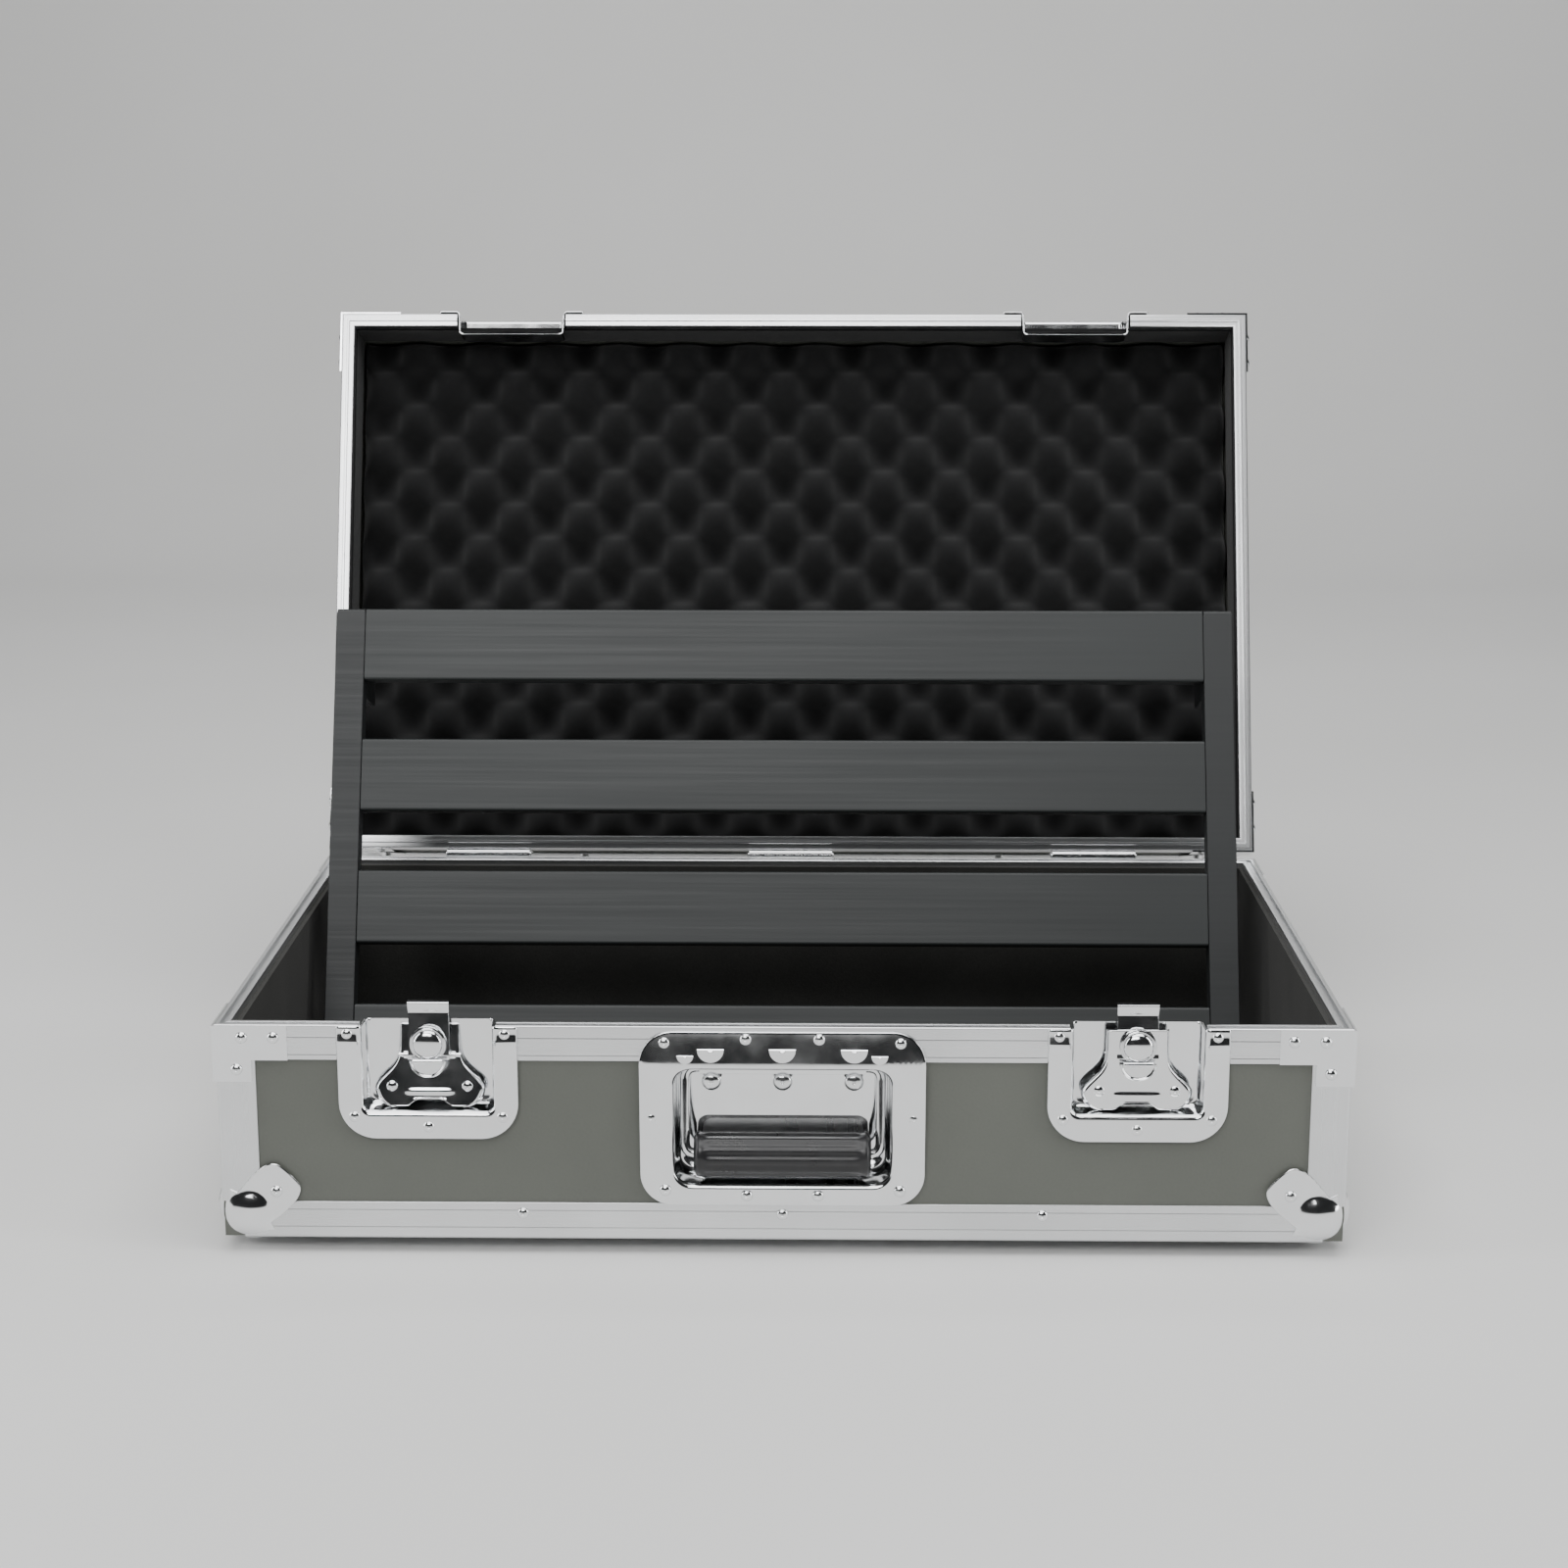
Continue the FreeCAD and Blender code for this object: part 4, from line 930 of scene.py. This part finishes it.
    def build(self) -> None:
        """All dishes."""
        self.moons()
        for side in Side:
            self.latch(side)
        self.handle()


@dataclass
class Handle:
    """Bent wire bail with a fluted rubber grip."""

    finishes: Finishes
    wire: float = 0.003
    half: float = 0.0565
    pivot_y: float = 0.0145
    pivot_z: float = 0.110
    grip_y: float = 0.0055
    drop: float = 0.0495
    grip_half: float = 0.051
    grip_radius: float = 0.0131

    def path(self) -> Array:
        """Rounded loop of the wire: a rectangle in a slightly tipped plane with bent corners."""
        loop = rounded([(-self.half, 0, 0.007), (self.half, 0, 0.007), (self.half, -self.drop, 0.007),
                        (-self.half, -self.drop, 0.007)], 9)
        lean = (self.grip_y - self.pivot_y) / -self.drop
        return np.column_stack([loop[:, 0], self.pivot_y + loop[:, 1] * lean, self.pivot_z + loop[:, 1]])

    def grip(self) -> Array:
        """Grip surface: radius = R (1 + 0.035 cos 12a) shaped by a rounded end e(u), along X."""
        u = np.linspace(-1, 1, 61)
        a = np.linspace(0, TAU, 144, endpoint=False)
        end = np.clip(1 - np.abs(u), 0, 0.04) / 0.04
        shape = 0.80 + 0.20 * np.sqrt(np.clip(1 - (1 - end) ** 2, 0, 1))
        collar = 1 + 0.05 * np.exp(-((np.abs(u) - 0.93) / 0.03) ** 2)
        flute = 1 + 0.030 * np.cos(12 * a)[None, :] * np.clip((0.88 - np.abs(u)) / 0.03, 0, 1)[:, None]
        r = self.grip_radius * (shape * collar)[:, None] * flute * 0.965
        x = np.broadcast_to((u * self.grip_half)[:, None], r.shape)
        return np.stack([x, self.grip_y + r * np.cos(a), self.pivot_z - self.drop + r * np.sin(a)], 2)

    def build(self) -> None:
        """Wire and grip."""
        shell = Shell()
        path = self.path()
        ahead = np.roll(path, -1, 0) - np.roll(path, 1, 0)
        ahead /= np.linalg.norm(ahead, axis=1, keepdims=True)
        flat = np.cross(np.array([1.0, 0, 0]), np.array([0, self.grip_y - self.pivot_y, -self.drop]))
        flat /= np.linalg.norm(flat)
        side = np.cross(ahead, flat)
        a = np.linspace(0, TAU, 16, endpoint=False)[None, :, None]
        pts = path[:, None] + self.wire * (np.cos(a) * side[:, None] + np.sin(a) * flat)
        shell.grid(PLAN.base(pts), wrap_u=True, wrap_v=True)
        shell.build("handle_wire", [self.finishes.chrome], "handle", "chrome_hardware", hides=("handle_bail",))
        shell = Shell()
        pts = PLAN.base(self.grip())
        shell.grid(pts, wrap_v=True)
        shell.fan(pts[0], pts[0].mean(0))
        shell.fan(pts[-1], pts[-1].mean(0), flip=True)
        shell.build("handle_fluted_grip", [self.finishes.grip], "handle", "grip_black", crease=60,
                    hides=("handle_grip",))


@dataclass
class TurnLatch:
    """Bell plate, turning hub and folding half-moon of one latch."""

    finishes: Finishes
    side: Side
    hub_drop: float = 0.012
    hub_radius: float = 0.0105
    wing_drop: float = 0.0095
    wing_radius: float = 0.0103

    def centre(self) -> Array:
        """Point on the hub's axis at the case's face."""
        return np.array([self.side.value * PLAN.latch_x, 0.0, PLAN.joint - self.hub_drop])

    def plate(self) -> None:
        """Bell-shaped plate on the half-width w(z): a neck that flares down to two riveted lobes.

        Its depth is front + lean * rise + border, with the border rolled back. The lean is chosen for the look:
        the left plate leans back further, so that it mirrors the dark above the floor.
        """
        c = self.centre()
        low, high = PLAN.joint - 0.0500, PLAN.joint - 0.0030
        z = np.linspace(low, high, 72)
        rise = (z - low) / (high - low)
        lobe = np.sqrt(np.clip(1 - ((z - (low + 0.0100)) / 0.0100) ** 2, 0, 1)) * 0.0100 + 0.0212
        neck = 0.0172 + 0.0140 * np.exp(-((np.clip(rise - 0.20, 0, None)) / 0.30) ** 2 * 1.6)
        width = np.where(z < low + 0.0100, lobe, np.minimum(0.0312, np.maximum(neck, 0.0150)))
        u = np.linspace(-1, 1, 121)[:, None]
        x = u * width[None, :]
        notch = 0.0040 * np.exp(-(x / 0.0105) ** 6) * np.clip(1 - rise[None, :] / 0.10, 0, 1)
        border = np.clip((np.abs(u) - 0.91) / 0.09, 0, 1) ** 2
        lean = 0.0096 if self.side is Side.LEFT else 0.0016
        depth = 0.0046 + lean * rise[None, :] + 0.0026 * border
        ridge = 0.0007 * np.exp(-((z[None, :] - (low + 0.0085)) / 0.0012) ** 2) * np.exp(-(x / 0.013) ** 8)
        pts = np.stack([c[0] + x, depth - ridge, np.broadcast_to(z, x.shape) + notch], 2)
        shell = Shell()
        shell.grid(PLAN.base(pts))
        rivet = Rivets(self.finishes, 0.0036, 0.0019).head()
        for s in (-1, 1):
            spot = np.array([c[0] + s * 0.0217, 0.0047 + lean * 0.23, low + 0.0110])
            head = turned(rivet, spot, np.array([0, -1.0, 0]), np.array([1.0, 0, 0]), 20)
            shell.grid(PLAN.base(head), wrap_u=True, flip=True)
        label = self.side.name.lower()
        shell.build("latch_%s_bell_plate" % label, [self.finishes.chrome], "base", "chrome_hardware", recalc=False,
                    crease=50, thick=-0.0009, hides=("latch_%s_plate" % label,))

    def hook(self) -> None:
        """Bent hook strap: out from the axle, up with a lean and back into the nose; outline swept across."""
        half = 0.0119
        spine = rounded([(-0.0058, -0.0012, 0.0006), (-0.0062, 0.0010, 0.0008), (-0.0016, 0.0262, 0.0006),
                         (-0.0030, 0.0310, 0.0008), (-0.0028, 0.0324, 0.0006), (0.0012, 0.0326, 0.0004),
                         (0.0002, 0.0308, 0.0003), (-0.0010, 0.0304, 0.0004), (0.0000, 0.0262, 0.0006),
                         (-0.0044, 0.0022, 0.0006), (0.0010, 0.0008, 0.0004), (0.0010, -0.0012, 0.0004)], 6)
        x = np.linspace(-1, 1, 25)
        pinch = 1 - 0.10 * np.exp(-((spine[:, 1] - 0.0235) / 0.0022) ** 2)
        y, z = spine[:, 0], spine[:, 1]
        centre = np.array([self.side.value * PLAN.latch_x, 0.0105, PLAN.joint - 0.021])
        pts = np.stack([x[:, None] * half * pinch, np.broadcast_to(y, (25, len(y))),
                        np.broadcast_to(z, (25, len(z)))], 2)
        shell = Shell()
        pts = PLAN.base(pts + centre)
        shell.grid(pts, wrap_v=True)
        shell.cap(pts[0])
        shell.cap(pts[-1], flip=True)
        ends = np.array([[1e-5, -0.0178], [0.0014, -0.0178], [0.0014, -0.0150], [0.0023, -0.0148], [0.0023, 0.0148],
                         [0.0014, 0.0150], [0.0014, 0.0178], [1e-5, 0.0178]])
        axle = turned(ends, centre, np.array([1.0, 0, 0]), np.array([0, 1.0, 0]), 20)
        shell.grid(PLAN.base(axle), wrap_u=True)
        label = self.side.name.lower()
        shell.build("latch_%s_hook_strap" % label, [self.finishes.chrome], "latch_%s_hook" % label,
                    "chrome_hardware", crease=40, hides=("latch_%s_hook" % label,))

    def hub(self) -> None:
        """Disc with a rolled edge and a raised dome in the middle, turned about the axis.

        The dome's height is h sqrt(1 - (r / R)^2), run out into a hollow before the edge.
        """
        r = self.hub_radius
        a = np.radians(np.linspace(90, 8, 12))
        dome = np.stack([0.0086 * np.cos(a) + 1e-5, -0.0036 * np.sin(a)], 1)
        edge = np.array([[0.0089, 0.0003], [r - 0.0012, 0.0003], [r - 0.0008, 0.0000], [r - 0.0003, 0.0002],
                         [r, 0.0010], [r, 0.0018], [r - 0.0006, 0.0023], [0.0040, 0.0023], [0.0040, 0.0044],
                         [1e-5, 0.0044]])
        profile = np.vstack([dome, edge])
        shell = Shell()
        middle = self.centre() + np.array([0, 0.0016, 0])
        pts = turned(profile, middle, np.array([0, 1.0, 0]), np.array([1.0, 0, 0]), 48)
        shell.grid(PLAN.base(pts), wrap_u=True)
        label = self.side.name.lower()
        shell.build("latch_%s_disc" % label, [self.finishes.chrome], "latch_%s_hub" % label, "chrome_hardware",
                    hides=("latch_%s_hub" % label,))

    def wing(self) -> None:
        """Half-moon with a raised rim and a thumb hollow: depth = rim lift + hollow, over polar coordinates."""
        r = self.wing_radius
        s = np.concatenate([np.linspace(0, 0.8, 12), np.linspace(0.84, 1.0, 8)])[:, None]
        a = np.linspace(-math.pi, 0, 40)[None, :]
        x, z = r * s * np.cos(a), r * s * np.sin(a) * 0.97
        edge = 0.0007 * np.exp(-((s - 0.93) / 0.05) ** 2) * np.ones_like(a)
        hollow = 0.0004 * np.exp(-((x / 0.006) ** 2 + ((z + 0.0075) / 0.0028) ** 2))
        front = 0.0003 - edge + hollow
        shell = Shell()
        c = self.centre() - np.array([0, 0, self.wing_drop])
        face = np.stack([c[0] + x, front, c[2] + z], 2)
        back = np.stack([c[0] + x, np.full_like(x, 0.0013), c[2] + z], 2)
        shell.grid(PLAN.base(face), flip=True)
        shell.grid(PLAN.base(back))
        rim = np.stack([face[-1], back[-1]])
        shell.grid(PLAN.base(rim))
        line = np.concatenate([face[::-1, 0], face[:, -1]])
        under = np.concatenate([back[::-1, 0], back[:, -1]])
        shell.grid(PLAN.base(np.stack([line, under])), flip=True)
        barrel = np.array([[1e-5, -0.0085], [0.0013, -0.0085], [0.0015, -0.0082], [0.0015, 0.0082], [0.0013, 0.0085],
                           [1e-5, 0.0085]])
        pin = turned(barrel, c + np.array([0, -0.0001, 0.0]), np.array([1.0, 0, 0]), np.array([0, 1.0, 0]), 20)
        shell.grid(PLAN.base(pin), wrap_u=True)
        label = self.side.name.lower()
        shell.build("latch_%s_half_moon" % label, [self.finishes.chrome], "latch_%s_wing" % label,
                    "chrome_hardware", crease=45, hides=("latch_%s_wing" % label,))

    def build(self) -> None:
        """Plate, hub, wing and hook."""
        self.plate()
        self.hub()
        self.wing()
        self.hook()


@dataclass
class SlattedBoard:
    """Four slats between two rails, with eased edges and fine seams, in the plane of the leaning deck."""

    finishes: Finishes
    width: float = 0.593
    deep: float = 0.322
    front: float = 0.030
    rail: float = 0.019
    slat: float = 0.048
    pitch: float = 0.0874
    thick: float = 0.012
    side: float = -0.004
    lean: float = 22.0
    axle: tuple[float, float] = (0.216, 0.02985)

    def place(self, pts: Array) -> Array:
        """Deck coordinates (x, along the deck, up from the deck's rollers) to the scene."""
        turn = math.radians(90 - self.lean)
        y, z = pts[..., 1] - 0.010, pts[..., 2] - 0.008
        out = np.stack([pts[..., 0] + self.side, self.axle[0] + y * math.cos(turn) - z * math.sin(turn),
                        self.axle[1] + y * math.sin(turn) + z * math.cos(turn)], -1)
        return PLAN.base(out)

    def bar(self, shell: Shell, outline: Array, x0: float, x1: float) -> None:
        """Sweep an outline (along, up) from x0 to x1 with a little easing at both ends."""
        ease, middle = 0.0004, outline.mean(0)
        x = np.array([x0, x0 + ease, x1 - ease, x1])
        scale = np.array([0.985, 1.0, 1.0, 0.985])[:, None, None]
        ring = middle + (outline - middle) * scale
        pts = np.concatenate([np.broadcast_to(x[:, None, None], (4, len(outline), 1)), ring], 2)
        pts = self.place(pts)
        shell.grid(pts, wrap_v=True, uv=(x, running(outline, True)))
        shell.cap(pts[0])
        shell.cap(pts[-1], flip=True)

    def build(self) -> None:
        """Slats and rails."""
        half, f = self.width / 2, self.front
        for i in range(4):
            low = self.deep - self.slat - (3 - i) * self.pitch
            outline = rounded([(low, f - self.thick, 0.0012), (low + self.slat, f - self.thick, 0.0012),
                               (low + self.slat, f, 0.0020), (low, f, 0.0020)], 5)
            shell = Shell()
            self.bar(shell, outline, -half + self.rail + 0.0004, half - self.rail - 0.0004)
            shell.build("board_slat_%d_eased" % (i + 1), [self.finishes.paint], "board", "board_black",
                        hides=("board_slat_%d" % (i + 1),))
        leg0, leg1, sole = self.deep - 0.056, self.deep - 0.018, f - 0.047
        outline = rounded([(0.004, 0.003, 0.001), (0.018, 0.003, 0.001), (0.032, f - 0.014, 0.002),
                           (leg0, f - 0.014, 0.002), (leg0, sole, 0.001), (leg1, sole, 0.001),
                           (leg1, f - 0.014, 0.002), (self.deep, f - 0.014, 0.0015), (self.deep, f, 0.0022),
                           (0, f, 0.0022), (0, 0.014, 0.002)], 5)
        for label, x0 in (("left", -half), ("right", half - self.rail)):
            shell = Shell()
            self.bar(shell, outline, x0, x0 + self.rail)
            shell.build("board_%s_rail_eased" % label, [self.finishes.rail], "board", "board_black",
                        hides=("board_%s_rail" % label,))


@dataclass
class LidFoam:
    """Egg-crate foam in the lid and thin lining on the lid's walls."""

    finishes: Finishes
    period: float = 0.049
    swell: float = 0.0085
    phase_x: float = -0.007
    phase_y: float = 0.020

    def build(self) -> None:
        """Foam with a face of height = mean - A cos(2 pi x / P) cos(2 pi y / P), and the lining ring."""
        p = PLAN
        low, high = p.wall + 0.0025, p.depth - p.wall - 0.0025
        w = p.width / 2 - p.wall - 0.0025
        x, y = np.linspace(-w, w, 300), np.linspace(low, high, 176)
        gx, gy = np.meshgrid(x, y, indexing="ij")
        top = p.joint + p.gap + p.lid - p.wall
        wave = np.cos(TAU * (gx - self.phase_x) / self.period) * np.cos(TAU * (gy - self.phase_y) / self.period)
        shaped = np.sign(wave) * np.abs(wave) ** 0.8
        edge = np.minimum.reduce([gx + w, w - gx, gy - low, high - gy])
        roll = 0.004 * (1 - np.clip(edge / 0.006, 0, 1)) ** 2
        z = top - 0.0310 + self.swell * (1 + shaped) + roll
        face = np.stack([gx, gy, z], 2)
        shell = Shell()
        shell.grid(p.swing(face), flip=True)
        ring = np.concatenate([face[:, 0], face[-1, 1:], face[-2::-1, -1], face[0, -2:0:-1]])
        roof = ring.copy()
        roof[:, 2] = top - 0.0002
        shell.grid(p.swing(np.stack([ring, roof])), wrap_v=True)
        shell.cap(p.swing(roof))
        foam = shell.build("lid_egg_crate", [self.finishes.foam], "lid", "foam_black", crease=70,
                           hides=("lid_foam",))
        profile = rounded([(0, 0, 0.0003), (0.002, 0, 0.0006), (0.002, 0.030, 0.0003), (0, 0.030, 0.0003)], 4)
        w, lo, hi, z0 = p.width / 2 - p.wall, p.wall, p.depth - p.wall, p.joint + p.gap + 0.0095
        spots = np.array([(-w, lo, 1, 1), (-w, hi, 1, -1), (w, hi, -1, -1), (w, lo, -1, 1)], float)
        base = np.column_stack([spots[:, :2], np.full(4, z0)])
        pts = sweep(profile, base, np.column_stack([spots[:, 2:], np.zeros(4)]), np.tile([0.0, 0, 1.0], (4, 1)))
        shell = Shell()
        shell.grid(p.swing(pts), wrap_u=True, wrap_v=True)
        shell.build("lid_wall_felt", [self.finishes.foam], "lid", "lining_dark")


# ------------------------------------------------------------------ stage


@dataclass
class Studio:
    """Pale sweep, soft lights and the camera."""

    focal: float = 64.26
    eye: tuple[float, float, float] = (0.0228, -1.5206, 0.6322)
    pitch: float = 0.227
    yaw: float = -0.0144

    def sweep_floor(self) -> None:
        """Floor that curves up behind: an arc of radius R joins the level and the upright part."""
        radius, reach, rise, half = 0.9, 2.2, 3.2, 5.0
        bend = arc((reach, radius), radius, -90, 0, 24)
        line = np.vstack([[[-4.0, 0.0]], bend, [[reach + radius, rise]]])
        x = np.linspace(-half, half, 9)
        pts = np.stack([np.broadcast_to(x[:, None], (9, len(line))), np.broadcast_to(line[:, 0], (9, len(line))),
                        np.broadcast_to(line[:, 1], (9, len(line)))], 2)
        tree = Tree("pale_paper")
        grain = tree.noise(tree.coords((160, 160, 160)), 1.0, 4.0)
        cloud = tree.noise(tree.coords((1.5, 1.5, 1.5)), 1.0, 2.0)
        tree.wire(Base_Color=tree.blend(tree.span(cloud, 0.3, 0.7), (0.70, 0.70, 0.69), (0.74, 0.74, 0.735)),
                  Roughness=tree.span(grain, 0.3, 0.7, 0.78, 0.9), Normal=tree.bump(grain, 0.05, 0.0003))
        mesh = bpy.data.meshes.new("paper_sweep")
        n, m = pts.shape[:2]
        i, j = (v.ravel() for v in np.meshgrid(np.arange(n - 1), np.arange(m - 1), indexing="ij"))
        quads = np.stack([i * m + j, (i + 1) * m + j, (i + 1) * m + j + 1, i * m + j + 1], 1)
        mesh.from_pydata(pts.reshape(-1, 3), [], quads.tolist())
        mesh.materials.append(tree.material)
        mesh.shade_smooth()
        obj = bpy.data.objects.new("paper_sweep", mesh)
        bpy.context.scene.collection.objects.link(obj)

    def lamp(self, name: str, place: tuple[float, float, float], aim: tuple[float, float, float],
             size: tuple[float, float], power: float, tint: tuple[float, float, float] = (1, 1, 1)) -> None:
        """One rectangular soft light."""
        data = bpy.data.lights.new(name, "AREA")
        data.shape = "RECTANGLE"
        data.size, data.size_y = size
        data.energy = power
        data.color = tint
        obj = bpy.data.objects.new(name, data)
        obj.location = place
        obj.rotation_euler = (Vector(aim) - Vector(place)).to_track_quat("-Z", "Y").to_euler()
        bpy.context.scene.collection.objects.link(obj)

    def camera(self) -> None:
        """Camera from eye point, pitch and yaw."""
        p, s = self.pitch, self.yaw
        ahead = Vector((math.sin(s) * math.cos(p), math.cos(s) * math.cos(p), -math.sin(p)))
        right = Vector((math.cos(s), -math.sin(s), 0.0))
        up = right.cross(ahead)
        data = bpy.data.cameras.new("camera")
        data.lens = self.focal
        data.sensor_width = 36.0
        data.clip_end = 50
        obj = bpy.data.objects.new("camera", data)
        turn = Matrix((right, up, -ahead)).transposed().to_4x4()
        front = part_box("base_rim")[0][1]
        obj.matrix_world = Matrix.Translation(Vector(self.eye) + Vector((0, front, 0))) @ turn
        bpy.context.scene.collection.objects.link(obj)
        bpy.context.scene.camera = obj

    def build(self) -> None:
        """Set the stage."""
        self.sweep_floor()
        self.lamp("top_soft", (0.1, -0.7, 2.4), (0, -0.1, 0.0), (2.6, 1.8), 66)
        self.lamp("front_soft", (-0.5, -2.6, 1.9), (0, -0.5, 0.0), (1.8, 0.9), 42)
        self.lamp("right_strip", (2.1, -0.9, 0.8), (0, 0, 0.2), (0.5, 1.8), 20)
        self.lamp("left_strip", (-2.1, -0.6, 0.9), (0, 0, 0.2), (0.5, 1.8), 18)
        self.lamp("back_wash", (0.0, 1.3, 2.6), (0, 2.8, 0.6), (3.0, 1.0), 30)
        world = bpy.data.worlds.new("soft_room")
        world.use_nodes = True
        world.node_tree.nodes["Background"].inputs[0].default_value = (0.62, 0.64, 0.66, 1)
        world.node_tree.nodes["Background"].inputs[1].default_value = 0.035
        bpy.context.scene.world = world
        bpy.context.scene.view_settings.view_transform = "AgX"
        self.camera()


def main() -> None:
    """Build every sub-assembly in order."""
    finishes = Finishes()
    finishes.dress()
    Extrusions(finishes).build()
    CornerCaps(finishes).build()
    Rivets(finishes).build()
    PressedDish(finishes).build()
    Handle(finishes).build()
    for side in Side:
        TurnLatch(finishes, side).build()
    SlattedBoard(finishes).build()
    LidFoam(finishes).build()
    Studio().build()


if __name__ == "__main__":
    main()
